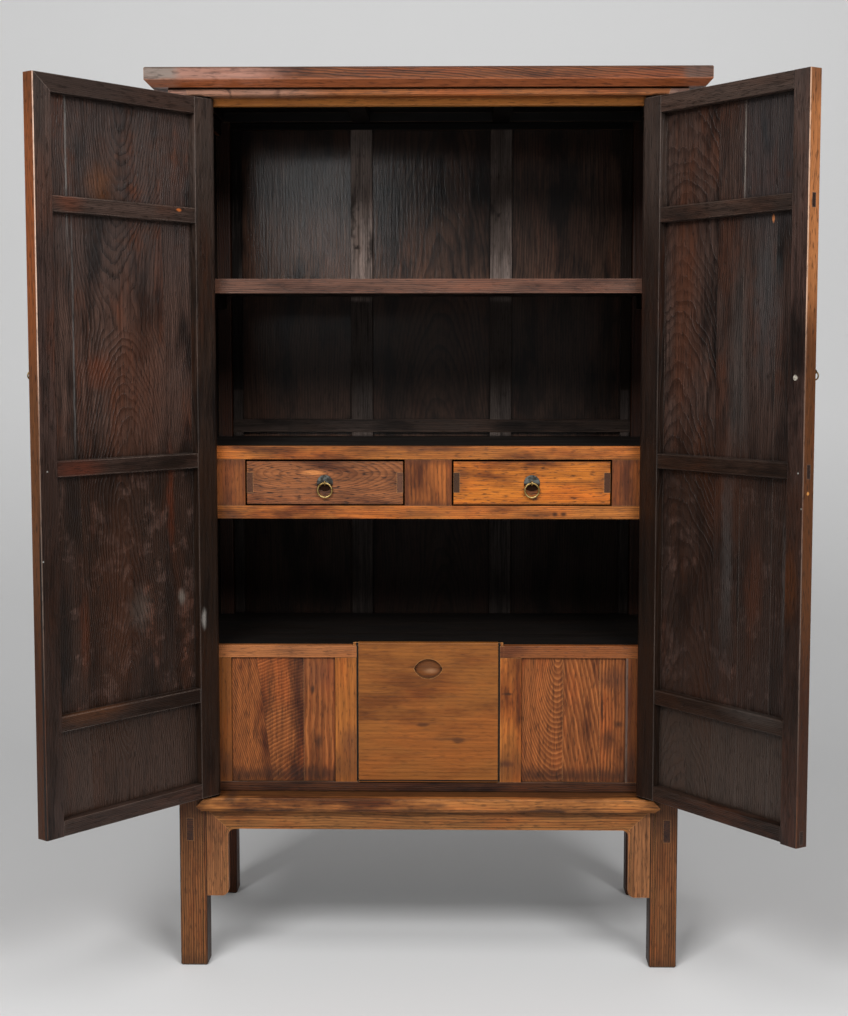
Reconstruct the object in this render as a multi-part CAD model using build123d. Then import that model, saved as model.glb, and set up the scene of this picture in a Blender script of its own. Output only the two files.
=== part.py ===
from build123d import *
import os

# A tall two-door storage cabinet in frame-and-panel joinery, with its doors standing open on
# wooden pivots. Millimetres, +Z up, the front towards -Y, and the origin on the floor at the
# centre of the four feet. Each piece of wood or brass is a solid of its own.

# Case
case_width = 1040.0  # over the outer faces of the posts
case_depth = 540.0
case_height = 1850.0
post_width = 57.0
post_arris = 8.0  # rounding of a post's inner front arris beside the door
post_bead = 9.0  # scratched bead along a front post's inner edge
bead_groove = 1.2
post_tenon = 20.0  # square tenon into the top, as high as it is wide
post_round = 4.0
foot_chamfer = 3.0
edge_round = 1.5  # worn long edges of rails and stiles

# Top
top_side_overhang = 45.0
top_front_overhang = 45.0
top_rear_overhang = 26.0
top_thickness = 38.0
top_fascia = 25.0  # upright part of the edge, above its chamfer
top_arris = 2.0
top_member_width = 90.0
top_mitre_tenon = 46.0  # tongue across a mitre, into the end member
top_mitre_tongue_width = 15.0
top_mitre_tongue_height = 10.0
top_mitre_tongue_setback = 15.0
top_board_thickness = 16.0
top_board_drop = 1.0  # boards lie this far under the frame's face
top_tongue = 8.0
top_batten_width = 40.0
top_batten_place = 160.0  # from the middle of the cabinet
top_batten_tenon = 10.0

# Head rail and base rail, which hold the door pivots
nose_projection = 22.0  # moulded nose, in front of the posts
nose_arris = 3.0
head_rail_height = 16.0
head_mitre_reach = 22.0  # nose running past the inner face of a post, up to its mitre
head_mitre_lean = 5.5
head_lip_depth = 24.0  # lip that stops the doors
head_lip_drop = 13.0
base_rail_height = 29.0
ledge_height = 364.0  # top of the base rail
base_nose_lap = 18.0  # pointed end of the nose, past the inner face of a post
base_nose_chamfer = 7.0
rail_tenon_length = 26.0
tenon_thickness = 15.0
tenon_shoulder = 6.0
lip_tenon_height = 10.0

# Apron and spandrels under the base rail
apron_height = 42.0
apron_thickness = 18.0
apron_setback = 2.0
spandrel_width = 45.0
spandrel_foot = 150.0  # height of a spandrel's lower end
spandrel_corner = 14.0
arch_bead = 5.0  # scratched bead round the arch

# Doors
door_thickness = 28.0
door_bottom_gap = 5.0
door_top_gap = 4.0
door_post_gap = 2.0
door_meeting_gap = 1.0
pivot_setback = 1.0  # pivot axis behind the posts' front faces
pivot_radius = 9.0
pivot_depth = 13.0  # socket in the base rail
head_pivot_depth = 12.0
pivot_clearance = 0.05
pivot_end_gap = 0.3
left_door_angle = 127.8  # degrees from closed
right_door_angle = 124.6
hinge_stile_inner = 46.0  # from the pivot axis to the panels
free_stile_width = 41.0
door_top_rail_height = 33.0
door_bottom_rail_height = 30.0
door_batten_height = 30.0
door_batten_places = (1543.0, 1052.0, 569.0)  # lower edges of the battens behind the panel
door_batten_setback = 2.0  # behind the inner face of the frame
batten_seat = 3.0  # batten let into the panel
batten_flare = 1.5
door_tenon_thickness = 9.0
door_tenon_length = 30.0
door_tenon_shoulder = 2.0
door_panel_thickness = 7.0
door_panel_setback = 3.0  # behind the door's front face
panel_groove = 6.0
left_door_seams = ((356.5, 324.0), (128.5, 85.5))  # top and foot of a seam, from the pivot axis
right_door_seams = ((352.0, 352.0), (266.0, 266.0))
left_stile_corner = 10.0  # rounded corner at the top of a hinge stile
right_stile_corner = 18.0
left_top_mitred = True  # otherwise the rail butts against the stile
right_top_mitred = False
left_tenons_show = (False, False, False, False, False)  # foot rail, top rail, battens from the top
right_tenons_show = (True, False, True, True, False)
left_stile_horn = 0.0  # free stile running past the foot rail
right_stile_horn = 3.0

# Ring pulls on the doors
door_pull_height = 1249.0  # eye above the floor
door_pull_from_edge = 23.5
door_pull_reach = 27.0
door_plate_radius = 10.0
door_ring_radius = 7.2  # centre line of the ring
door_ring_wire = 1.3
door_eye_radius = 2.9
door_eye_wire = 1.1
door_shank_radius = 1.6
washer_radius = 4.7
washer_drop = 11.0  # washer at the end of the clinched shank
plate_thickness = 1.5
ring_seat_gap = 0.3

# Inner work behind the doors
work_setback = 40.0  # behind the posts' front faces
work_thickness = 22.0
sill_height = 21.0
work_tenon_length = 8.0
work_tenon_thickness = 8.0

# Sides
side_rail_thickness = 29.0
side_rail_setback = 8.0
side_rail_height = 30.0
base_side_rail_height = 60.0
base_side_rail_foot = 262.0
side_panel_thickness = 12.0
side_panel_setback = 14.0
side_groove = 7.0
rear_tenon_length = 35.0

# Back
back_thickness = 26.0
back_setback = 14.0
back_stile_width = 23.0
mullion_width = 50.0
mullion_place = 161.5  # centre of a mullion, from the middle
back_panel_thickness = 8.0
back_panel_setback = 6.0
back_mid_rail_foot = 1101.0
back_rail_height = 30.0
back_head_rail_height = 15.0

# Shelf, decks and floor
board_thickness = 18.0
floor_foot = 322.0
shelf_top = 1436.0
shelf_board_thickness = 20.0
shelf_front_height = 29.0
shelf_front_width = 40.0
shelf_cleat_height = 30.0
shelf_cleat_width = 20.0
deck_boards = 3

# Drawer bank
bank_top = 1092.0
bank_height = 151.0
bank_rail_height = 27.5
drawer_inner_edge = 49.0  # half of the middle stile
drawer_outer_edge = 380.0
drawer_side_gap = 3.2
drawer_guide_gap = 1.4
drawer_lift = 0.3  # drawer over its rail and runners
drawer_front_rise = 2.5  # foot of the front over the feet of the sides
drawer_top_gap = 4.0
drawer_front_thickness = 20.0
drawer_side_thickness = 13.0
drawer_side_drop = 11.0  # top of a side under the top of the front
drawer_length = 410.0
drawer_back_thickness = 12.0
drawer_bottom_thickness = 8.0
drawer_bottom_rise = 9.0
drawer_groove = 5.0
drawer_joint_height = 42.0  # end of a side that shows in the front
runner_width = 28.0
runner_height = 20.0
runner_guide_width = 10.0
runner_guide_height = 13.0
bearer_depth = 24.0  # cross rail behind the drawers

# Ring pulls on the drawers
pull_reach = 12.0
pull_plate_radius = 16.5
ring_radius = 14.7  # centre line of the ring
ring_wire = 2.0
eye_radius = 3.9
eye_wire = 1.4
shank_radius = 1.5
clinch_length = 9.0
clinch_thickness = 1.5

# Hidden store and its lifting hatch
store_top = 674.6
store_rail_height = 25.6
hatch_opening = 150.0  # half width
store_stile_width = 45.0
store_end_stile_width = 50.0
store_panel_thickness = 12.0
store_panel_setback = 6.0
left_store_seams = (-261.5,)
right_store_seams = (282.0, 359.0)
hatch_half_width = 146.0
hatch_thickness = 16.0
hatch_proud = 4.0
hatch_rise = 6.9  # over the top of the store rails
hatch_tongue = 10.5
hatch_tongue_thickness = 6.0
hatch_slack = 0.5
hatch_groove = 8.0
hatch_lift_gap = 0.3
finger_width = 60.0
finger_height = 42.0
finger_depth = 9.0
finger_drop = 55.0  # from the hatch's top to the middle of the finger recess

# Places worked out from the sizes above
half_width = case_width / 2
front_y = -case_depth / 2
rear_y = case_depth / 2
inner_x = half_width - post_width
post_back_y = front_y + post_width
rear_post_y = rear_y - post_width
frame_z = case_height - top_thickness
head_z = frame_z - head_rail_height
lip_z = head_z - head_lip_drop
base_z = ledge_height - base_rail_height
nose_y = front_y - nose_projection
work_y = front_y + work_setback
work_back_y = work_y + work_thickness
store_end_x = inner_x - store_end_stile_width
sill_z = ledge_height + sill_height
side_out_x = half_width - side_rail_setback
side_in_x = side_out_x - side_rail_thickness
panel_out_x = half_width - side_panel_setback
panel_in_x = panel_out_x - side_panel_thickness
tenon_mid_x = (side_out_x + side_in_x) / 2
back_out_y = rear_y - back_setback
back_in_y = back_out_y - back_thickness
store_deck_z = store_top - board_thickness
bank_deck_z = bank_top - board_thickness
bank_foot = bank_top - bank_height
bank_rail_z = bank_top - bank_rail_height
bank_open_z = bank_foot + bank_rail_height
pivot_x = inner_x - door_post_gap - door_thickness / 2
pivot_y = front_y + pivot_setback
door_front_y = pivot_y - door_thickness / 2
door_back_y = pivot_y + door_thickness / 2
door_z = ledge_height + door_bottom_gap
door_top_z = head_z - door_top_gap
socket_radius = pivot_radius + pivot_clearance
lip_y = work_y - head_lip_depth
bearer_y = back_in_y - bearer_depth


def block(x0, x1, y0, y1, z0, z1):
    """Return a plain box between two corners."""
    middle = Pos((x0 + x1) / 2, (y0 + y1) / 2, (z0 + z1) / 2)
    return middle * Box(abs(x1 - x0), abs(y1 - y0), abs(z1 - z0))


def member(x0, x1, y0, y1, z0, z1, along, rounding=edge_round):
    """Return a rail or stile whose long edges are rounded."""
    body = block(x0, x1, y0, y1, z0, z1)
    return fillet(body.edges().filter_by(along), rounding)


def upright(points, z0, z1):
    """Return a prism that stands on an outline in plan."""
    outline = make_face(Polyline(*points, close=True))
    return extrude(Plane(origin=(0, 0, z0)) * outline, amount=z1 - z0)


def across(points, x0, x1):
    """Return a prism along X with its outline in Y and Z."""
    section = Plane(origin=(x0, 0, 0), x_dir=(0, 1, 0), z_dir=(1, 0, 0))
    return extrude(section * make_face(Polyline(*points, close=True)), amount=x1 - x0)


def fore_aft(points, y0, y1):
    """Return a prism along Y with its outline in X and Z."""
    section = Plane(origin=(0, y1, 0), x_dir=(1, 0, 0), z_dir=(0, -1, 0))
    return extrude(section * make_face(Polyline(*points, close=True)), amount=y1 - y0)


def rod(x, y, z0, z1, radius):
    """Return a standing cylinder."""
    return Pos(x, y, (z0 + z1) / 2) * Cylinder(radius, z1 - z0)


def rod_y(x, z, y0, y1, radius):
    """Return a cylinder that lies front to back."""
    return Pos(x, (y0 + y1) / 2, z) * Rot(90, 0, 0) * Cylinder(radius, y1 - y0)


def other_side(piece):
    """Return the piece mirrored across the cabinet's middle."""
    return mirror(piece, about=Plane.YZ)


def boards_between(x0, x1, y0, y1, z0, z1, count):
    """Return boards of equal width, laid side by side from front to back."""
    width = (y1 - y0) / count
    return [block(x0, x1, y0 + i * width, y0 + (i + 1) * width, z0, z1) for i in range(count)]


def less(piece, *cutters):
    """Return the piece with each cutter taken away."""
    for cutter in cutters:
        piece = piece - cutter
    return piece


def save(node, *pieces):
    """Write one node from all the solids of its pieces."""
    solids = [solid for piece in pieces for solid in piece.solids()]
    export_step(Compound(solids), f"parts/{node}.step")


def ring_pull(x, face_y, z, reach, plate_radius, ring_radius, ring_wire, eye_radius, eye_wire):
    """Return the plate, the eye and the ring of a pull on a face turned towards -Y."""
    eye_y = face_y - reach + eye_radius + eye_wire
    drop = eye_radius - eye_wire - ring_wire - ring_seat_gap
    plate = rod_y(x, z, face_y - plate_thickness, face_y, plate_radius)
    eye = Pos(x, eye_y, z) * Rot(0, 90, 0) * Torus(eye_radius, eye_wire)
    ring = Pos(x, eye_y, z - drop - ring_radius) * Rot(90, 0, 0) * Torus(ring_radius, ring_wire)
    return plate, eye, ring, eye_y + eye_radius


def side_rail(z0, z1):
    """Return a rail of the right side, with a tenon right through the front post."""
    rail = member(side_in_x, side_out_x, post_back_y, rear_post_y, z0, z1, Axis.Y)
    x0 = tenon_mid_x - tenon_thickness / 2
    low = z0 + tenon_shoulder
    high = z1 - tenon_shoulder
    tenon = block(x0, x0 + tenon_thickness, front_y, rear_post_y + rear_tenon_length, low, high)
    return rail + tenon


def side_panel(z0, z1):
    """Return a panel of the right side, let into the grooves round it."""
    y0 = post_back_y - side_groove
    y1 = rear_post_y + side_groove
    return block(panel_in_x, panel_out_x, y0, y1, z0 - side_groove, z1 + side_groove)


def rear_rail(z0, z1):
    """Return a rail of the back with a tenon into each rear post."""
    rail = member(-inner_x, inner_x, back_in_y, back_out_y, z0, z1, Axis.X)
    y0 = (back_in_y + back_out_y - tenon_thickness) / 2
    inset = min(tenon_shoulder, (z1 - z0) / 4)
    reach = inner_x + rail_tenon_length
    return rail + block(-reach, reach, y0, y0 + tenon_thickness, z0 + inset, z1 - inset)


def back_row(z0, z1):
    """Return the upright pieces and the panels between two rails of the back."""
    half = mullion_width / 2
    edges = [(-inner_x, -inner_x + back_stile_width), (-mullion_place - half, -mullion_place + half)]
    edges += [(mullion_place - half, mullion_place + half), (inner_x - back_stile_width, inner_x)]
    uprights = [member(x0, x1, back_in_y, back_out_y, z0, z1, Axis.Z) for x0, x1 in edges]
    y1 = back_out_y - back_panel_setback
    y0 = y1 - back_panel_thickness
    panels = []
    for (_, x0), (x1, _) in zip(edges, edges[1:]):
        low = z0 - panel_groove
        panels.append(block(x0 - panel_groove, x1 + panel_groove, y0, y1, low, z1 + panel_groove))
    return uprights, panels


def top_profile(outer, inner):
    """Return the section of a top frame member: face, fascia, chamfer and underside."""
    step = top_thickness - top_fascia
    way = 1 if inner > outer else -1
    low = frame_z + step
    points = [(outer + way * top_arris, case_height), (outer, case_height - top_arris)]
    points += [(outer, low), (outer + way * step, frame_z)]
    return points + [(inner, frame_z), (inner, case_height)]


def nose_profile(z0, z1, low_chamfer):
    """Return the section of a nose in front of the posts."""
    points = [(front_y, z0), (nose_y + low_chamfer, z0), (nose_y, z0 + low_chamfer)]
    return points + [(nose_y, z1 - nose_arris), (nose_y + nose_arris, z1), (front_y, z1)]


def batten_profile(z):
    """Return the section of a door batten, with the dovetail that sits in the panel."""
    face_y = door_front_y + door_panel_setback + door_panel_thickness
    back_y = door_back_y - door_batten_setback
    top = z + door_batten_height
    points = [(face_y - batten_seat, z - batten_flare), (face_y, z), (back_y - edge_round, z)]
    points += [(back_y, z + edge_round), (back_y, top - edge_round), (back_y - edge_round, top)]
    return points + [(face_y, top), (face_y - batten_seat, top + batten_flare)]


def left_door(stile_corner, seams, is_mitred, tenons_show, horn, has_washer):
    """Return the pieces of the left door in its closed place, by name."""
    axis_to_panel = -pivot_x + hinge_stile_inner
    free_x = -door_meeting_gap / 2
    free_in_x = free_x - free_stile_width
    hinge = member(-pivot_x, axis_to_panel, door_front_y, door_back_y, door_z, door_top_z, Axis.Z)
    hinge = hinge + block(-pivot_x, -pivot_x + 2 * edge_round, door_front_y, door_back_y,
                          door_z, door_top_z)
    hinge = hinge + rod(-pivot_x, pivot_y, door_z, door_top_z, door_thickness / 2)
    corner_x = -pivot_x - door_thickness / 2
    corner_z = door_top_z - stile_corner
    corner = block(corner_x, corner_x + stile_corner, door_front_y, door_back_y, corner_z, door_top_z)
    hinge = hinge - (corner - rod_y(corner_x + stile_corner, corner_z, door_front_y, door_back_y,
                                    stile_corner))
    foot = ledge_height - pivot_depth + pivot_end_gap
    head = head_z + head_pivot_depth - pivot_end_gap
    hinge = hinge + rod(-pivot_x, pivot_y, foot, head, pivot_radius)
    free = member(free_in_x, free_x, door_front_y, door_back_y, door_z - horn, door_top_z, Axis.Z)

    foot_rail_z = door_z + door_bottom_rail_height
    top_rail_z = door_top_z - door_top_rail_height
    foot_rail = member(axis_to_panel, free_in_x, door_front_y, door_back_y, door_z, foot_rail_z, Axis.X)
    top_end_x = free_x if is_mitred else free_in_x
    top_rail = member(axis_to_panel, top_end_x, door_front_y, door_back_y, top_rail_z, door_top_z, Axis.X)
    if is_mitred:
        mitre = [(axis_to_panel, top_rail_z), (free_in_x, top_rail_z), (free_x, door_top_z)]
        mitre += [(axis_to_panel, door_top_z)]
        mitre_block = fore_aft(mitre, door_front_y, door_back_y)
        top_rail = top_rail & mitre_block
        free = free - mitre_block
    battens = [across(batten_profile(z), axis_to_panel, free_in_x) for z in door_batten_places]

    spans = [(door_z, foot_rail_z), (top_rail_z, door_top_z)]
    spans += [(z, z + door_batten_height) for z in door_batten_places]
    rails = []
    for rail, (z0, z1), shows in zip([foot_rail, top_rail, *battens], spans, tenons_show):
        y0 = pivot_y - door_tenon_thickness / 2
        y1 = pivot_y + door_tenon_thickness / 2
        low = z0 + door_tenon_shoulder
        high = z1 - door_tenon_shoulder
        end_x = free_x if shows else free_in_x + door_tenon_length
        rails.append(rail + block(axis_to_panel - door_tenon_length, end_x, y0, y1, low, high))

    y0 = door_front_y + door_panel_setback
    y1 = y0 + door_panel_thickness
    low = foot_rail_z - panel_groove
    high = top_rail_z + panel_groove
    first = (free_in_x + panel_groove, free_in_x + panel_groove)
    last = (axis_to_panel - panel_groove, axis_to_panel - panel_groove)
    lines = [first, *[(top - pivot_x, foot - pivot_x) for top, foot in seams], last]
    panels = []
    for (top_x1, foot_x1), (top_x0, foot_x0) in zip(lines, lines[1:]):
        board = [(top_x0, high), (top_x1, high), (foot_x1, low), (foot_x0, low)]
        panels.append(fore_aft(board, y0, y1))

    pull_x = free_x - door_pull_from_edge
    plate, eye, ring, root_y = ring_pull(pull_x, door_front_y, door_pull_height, door_pull_reach,
                                         door_plate_radius, door_ring_radius, door_ring_wire,
                                         door_eye_radius, door_eye_wire)
    shank = rod_y(pull_x, door_pull_height, root_y, door_back_y, door_shank_radius)
    pin = eye + shank
    if has_washer:
        washer_y = door_back_y + plate_thickness
        washer_z = door_pull_height - washer_drop
        pin = pin + block(pull_x - door_shank_radius, pull_x + door_shank_radius, door_back_y, washer_y,
                          washer_z, door_pull_height + door_shank_radius)
        pin = pin + rod_y(pull_x, washer_z, door_back_y, washer_y, washer_radius)

    return {
        "hinge_stile": [less(hinge, *rails, *panels)],
        "free_stile": [less(free, shank, *rails, *panels)],
        "rails": [less(rail, *panels) for rail in rails[:2]] + rails[2:],
        "panels": [less(panel, *rails[2:]) for panel in panels],
        "pull_mount": [plate - shank, pin],
        "pull_ring": [ring],
    }


def swing(piece, x, angle):
    """Return a door piece turned about the upright pivot at x."""
    return Pos(x, pivot_y, 0) * Rot(0, 0, angle) * Pos(-x, -pivot_y, 0) * piece


def right_drawer():
    """Return the pieces of the right drawer, pushed in, by name."""
    x0 = drawer_inner_edge + drawer_side_gap
    x1 = drawer_outer_edge - drawer_side_gap
    z0 = bank_open_z + drawer_lift
    y1 = work_y + drawer_front_thickness
    end_y = work_y + drawer_length
    front = block(x0, x1, work_y, y1, z0 + drawer_front_rise, bank_rail_z - drawer_top_gap)
    front = fillet(front.faces().sort_by(Axis.Y)[0].edges(), edge_round)
    joint_z = (z0 + bank_rail_z - drawer_joint_height) / 2
    joint_top = joint_z + drawer_joint_height
    side_top = bank_rail_z - drawer_top_gap - drawer_side_drop
    sides = []
    for side_x in (x0, x1 - drawer_side_thickness):
        far_x = side_x + drawer_side_thickness
        side = block(side_x, far_x, y1, end_y, z0, side_top)
        sides.append(side + block(side_x, far_x, work_y, y1, joint_z, joint_top))
    back_x0 = x0 + drawer_side_thickness
    back_x1 = x1 - drawer_side_thickness
    bottom_z = z0 + drawer_bottom_rise
    bottom_top = bottom_z + drawer_bottom_thickness
    back = block(back_x0, back_x1, end_y - drawer_back_thickness, end_y, bottom_top, side_top)
    bottom = block(back_x0 - drawer_groove, back_x1 + drawer_groove, y1 - drawer_groove, end_y,
                   bottom_z, bottom_top)

    pull_x = (x0 + x1) / 2
    eye_z = (z0 + drawer_front_rise + bank_rail_z - drawer_top_gap) / 2
    plate, eye, ring, root_y = ring_pull(pull_x, work_y, eye_z, pull_reach, pull_plate_radius,
                                         ring_radius, ring_wire, eye_radius, eye_wire)
    shank = rod_y(pull_x, eye_z, root_y, y1, shank_radius)
    clinch = block(pull_x - clinch_length, pull_x + clinch_length, y1, y1 + clinch_thickness,
                   eye_z - shank_radius, eye_z + shank_radius)
    return {
        "front": [less(front, bottom, shank, *sides)],
        "box": [less(side, bottom) for side in sides] + [back],
        "bottom": [bottom],
        "pull_plate": [plate - shank],
        "pull_pin": [eye + shank + clinch],
        "pull_ring": [ring],
    }


os.makedirs("parts", exist_ok=True)

# Side frames: four rails and three panels on each side
side_spans = [
    (base_side_rail_foot, floor_foot),
    (store_deck_z - side_rail_height, store_deck_z),
    (bank_deck_z - side_rail_height, bank_deck_z),
    (frame_z - side_rail_height, frame_z),
]
side_rails = [side_rail(z0, z1) for z0, z1 in side_spans]
side_panels = [side_panel(low[1], high[0]) for low, high in zip(side_spans, side_spans[1:])]
cut_side_rails = [less(rail, *side_panels) for rail in side_rails]
save("side_rails", *cut_side_rails, *[other_side(rail) for rail in cut_side_rails])
save("right_side_panels", *side_panels)
save("left_side_panels", *[other_side(panel) for panel in side_panels])

# Back: three rails, two rows of uprights and panels
rear_spans = [
    (base_side_rail_foot, floor_foot),
    (back_mid_rail_foot, back_mid_rail_foot + back_rail_height),
    (frame_z - back_head_rail_height, frame_z),
]
rear_rails = [rear_rail(z0, z1) for z0, z1 in rear_spans]
back_uprights = []
back_panels = []
for low, high in zip(rear_spans, rear_spans[1:]):
    row_uprights, row_panels = back_row(low[1], high[0])
    back_uprights += [less(piece, *row_panels) for piece in row_uprights]
    back_panels += row_panels
save("rear_rails", *[less(rail, *back_panels) for rail in rear_rails])
save("back_mullions", *back_uprights)
save("back_panels", *back_panels)

# Head rail: nose over the posts, rebate for the doors and lip that stops them
head_nose = across(nose_profile(head_z, frame_z, nose_arris), -half_width, half_width)
mitre_top_x = inner_x + head_mitre_reach
mitre_foot_x = mitre_top_x - head_mitre_lean
mitre = [(-mitre_top_x, frame_z), (mitre_top_x, frame_z), (mitre_foot_x, head_z), (-mitre_foot_x, head_z)]
mitre_block = fore_aft(mitre, nose_y, front_y)
nose = head_nose & mitre_block
save("head_returns", head_nose - mitre_block)
body = block(-inner_x, inner_x, front_y, lip_y, head_z, frame_z)
lip = block(-inner_x, inner_x, lip_y, work_y, lip_z, frame_z)
head_tenon_reach = inner_x + rail_tenon_length
head_tenon = block(-head_tenon_reach, head_tenon_reach, lip_y - tenon_thickness / 2,
                   lip_y + tenon_thickness / 2, frame_z - lip_tenon_height, frame_z)
head_rail = nose + body + lip + head_tenon
head_sockets = [rod(x, pivot_y, head_z, head_z + head_pivot_depth, socket_radius)
                for x in (-pivot_x, pivot_x)]
save("head_rail", less(head_rail, *head_sockets))

# Base rail: ledge under the doors, with a rounded nose
tip_x = inner_x + base_nose_lap
tip_z = ledge_height - base_nose_lap
foot_x = tip_x - (tip_z - base_z)
tips = [(-inner_x, ledge_height), (inner_x, ledge_height), (tip_x, tip_z), (foot_x, base_z)]
tips += [(-foot_x, base_z), (-tip_x, tip_z)]
nose = across(nose_profile(base_z, ledge_height, base_nose_chamfer), -tip_x, tip_x)
nose = nose & fore_aft(tips, nose_y, front_y)
body = block(-inner_x, inner_x, front_y, work_back_y, base_z, ledge_height)
base_tenon_reach = inner_x + rail_tenon_length
base_tenon = block(-base_tenon_reach, base_tenon_reach, work_y - tenon_thickness, work_y,
                   base_z + tenon_shoulder, ledge_height - tenon_shoulder)
base_rail = nose + body + base_tenon
base_sockets = [rod(x, pivot_y, ledge_height - pivot_depth, ledge_height, socket_radius)
                for x in (-pivot_x, pivot_x)]
save("base_rail", less(base_rail, *base_sockets))

# Apron and spandrels: one arch, mitred into three pieces
apron_y = front_y + apron_setback
apron_back_y = apron_y + apron_thickness
apron_z = base_z - apron_height
arch_x = inner_x - spandrel_width


def arch_opening(grow, y0, y1):
    """Return the space under the arch, grown by a margin."""
    space = block(-arch_x - grow, arch_x + grow, y0, y1, spandrel_foot, apron_z + grow)
    return fillet(space.edges().filter_by(Axis.Y).group_by(Axis.Z)[-1], spandrel_corner + grow)


arch = block(-inner_x, inner_x, apron_y, apron_back_y, spandrel_foot, base_z)
arch = arch - arch_opening(0, apron_y, apron_back_y)
feet = arch.edges().filter_by(Axis.Y).group_by(Axis.Z)[0].sort_by(Axis.X)[1:-1]
arch = fillet(feet, spandrel_corner)
bead_y = apron_y + bead_groove
bead = arch_opening(arch_bead + bead_groove, apron_y, bead_y) - arch_opening(arch_bead, apron_y, bead_y)
arch = arch - bead
mitre_slope = apron_height / spandrel_width
mitre_x = arch_x - 2 * spandrel_corner
mitre_z = apron_z - 2 * spandrel_corner * mitre_slope
mitre = [(-inner_x, base_z), (inner_x, base_z), (mitre_x, mitre_z), (-mitre_x, mitre_z)]
mitre_block = fore_aft(mitre, apron_y, apron_back_y)
save("apron", arch & mitre_block)
save("spandrels", arch - mitre_block)

# Sill and rails of the inner work, tenoned into the front posts
store_sill = member(-inner_x, inner_x, work_y, work_back_y, ledge_height, sill_z, Axis.X)
save("store_sill", store_sill)
tenon_y = work_y + (work_thickness - work_tenon_thickness) / 2
tenon_back_y = tenon_y + work_tenon_thickness


def work_rail(x0, x1, z0, z1, left_tenon, right_tenon):
    """Return a rail of the inner work with a tenon at either end, where asked."""
    rail = member(x0, x1, work_y, work_back_y, z0, z1, Axis.X)
    low = z0 + tenon_shoulder
    high = z1 - tenon_shoulder
    start = x0 - work_tenon_length * left_tenon
    end = x1 + work_tenon_length * right_tenon
    return rail + block(start, end, tenon_y, tenon_back_y, low, high)


store_rail_z = store_top - store_rail_height
bank_top_rail = work_rail(-inner_x, inner_x, bank_rail_z, bank_top, True, True)
bank_bottom_rail = work_rail(-inner_x, inner_x, bank_foot, bank_open_z, True, True)
left_store_rail = work_rail(-inner_x, -hatch_opening, store_rail_z, store_top, True, False)
right_store_rail = work_rail(hatch_opening, inner_x, store_rail_z, store_top, False, True)
work_rails = [bank_top_rail, bank_bottom_rail, left_store_rail, right_store_rail]

# Posts: each takes its rails and panels
post = block(inner_x, half_width, front_y, post_back_y, 0, frame_z)
post = fillet(post.edges().filter_by(Axis.Z), post_round)
post = chamfer(post.faces().sort_by(Axis.Z)[0].edges(), foot_chamfer)
tenon_gap = (post_width - post_tenon) / 2
peg = block(inner_x + tenon_gap, half_width - tenon_gap, front_y + tenon_gap,
            post_back_y - tenon_gap, frame_z, frame_z + post_tenon)
arris = block(inner_x, inner_x + post_arris, front_y, front_y + post_arris, ledge_height, head_z)
arris = arris - rod(inner_x + post_arris, front_y + post_arris, ledge_height, head_z, post_arris)
bead = rod(inner_x + post_bead, front_y, 0, frame_z, bead_groove)
front_post = less(post + peg, arris, bead, head_rail, base_rail, *work_rails, *side_rails, *side_panels)
rear_post = Pos(0, case_depth - post_width, 0) * (post + peg)
rear_post = less(rear_post, *rear_rails, *side_rails, *side_panels)
save("front_right_post", front_post)
save("front_left_post", other_side(front_post))
save("rear_right_post", rear_post)
save("rear_left_post", other_side(rear_post))

# Top: mitred frame, three floating boards and two battens under them
top_x = half_width + top_side_overhang
top_front_y = front_y - top_front_overhang
top_rear_y = rear_y + top_rear_overhang
field_x = top_x - top_member_width
field_front_y = top_front_y + top_member_width
field_rear_y = top_rear_y - top_member_width
board_z = case_height - top_board_drop - top_board_thickness
board_top_z = case_height - top_board_drop
tongue_z = board_z + top_board_thickness / 2
boards = boards_between(-field_x, field_x, field_front_y, field_rear_y, board_z, board_top_z, deck_boards)
tongue = block(-field_x - top_tongue, field_x + top_tongue, field_front_y - top_tongue,
               field_rear_y + top_tongue, board_z, tongue_z)
tongue_parts = boards_between(-field_x - top_tongue, field_x + top_tongue, field_front_y,
                              field_rear_y, board_z, tongue_z, deck_boards)
tongue_parts[0] = tongue_parts[0] + block(-field_x - top_tongue, field_x + top_tongue,
                                          field_front_y - top_tongue, field_front_y, board_z, tongue_z)
tongue_parts[-1] = tongue_parts[-1] + block(-field_x - top_tongue, field_x + top_tongue,
                                            field_rear_y, field_rear_y + top_tongue, board_z, tongue_z)
save("top_boards", *[board + edge for board, edge in zip(boards, tongue_parts)])
battens = []
for batten_x in (-top_batten_place, top_batten_place):
    x0 = batten_x - top_batten_width / 2
    x1 = batten_x + top_batten_width / 2
    batten = member(x0, x1, field_front_y, field_rear_y, frame_z, board_z, Axis.Y)
    low = frame_z + edge_round
    battens.append(batten + block(x0 + tenon_shoulder, x1 - tenon_shoulder,
                                  field_front_y - top_batten_tenon,
                                  field_rear_y + top_batten_tenon, low, board_z - edge_round))
save("top_battens", *battens)

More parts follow.
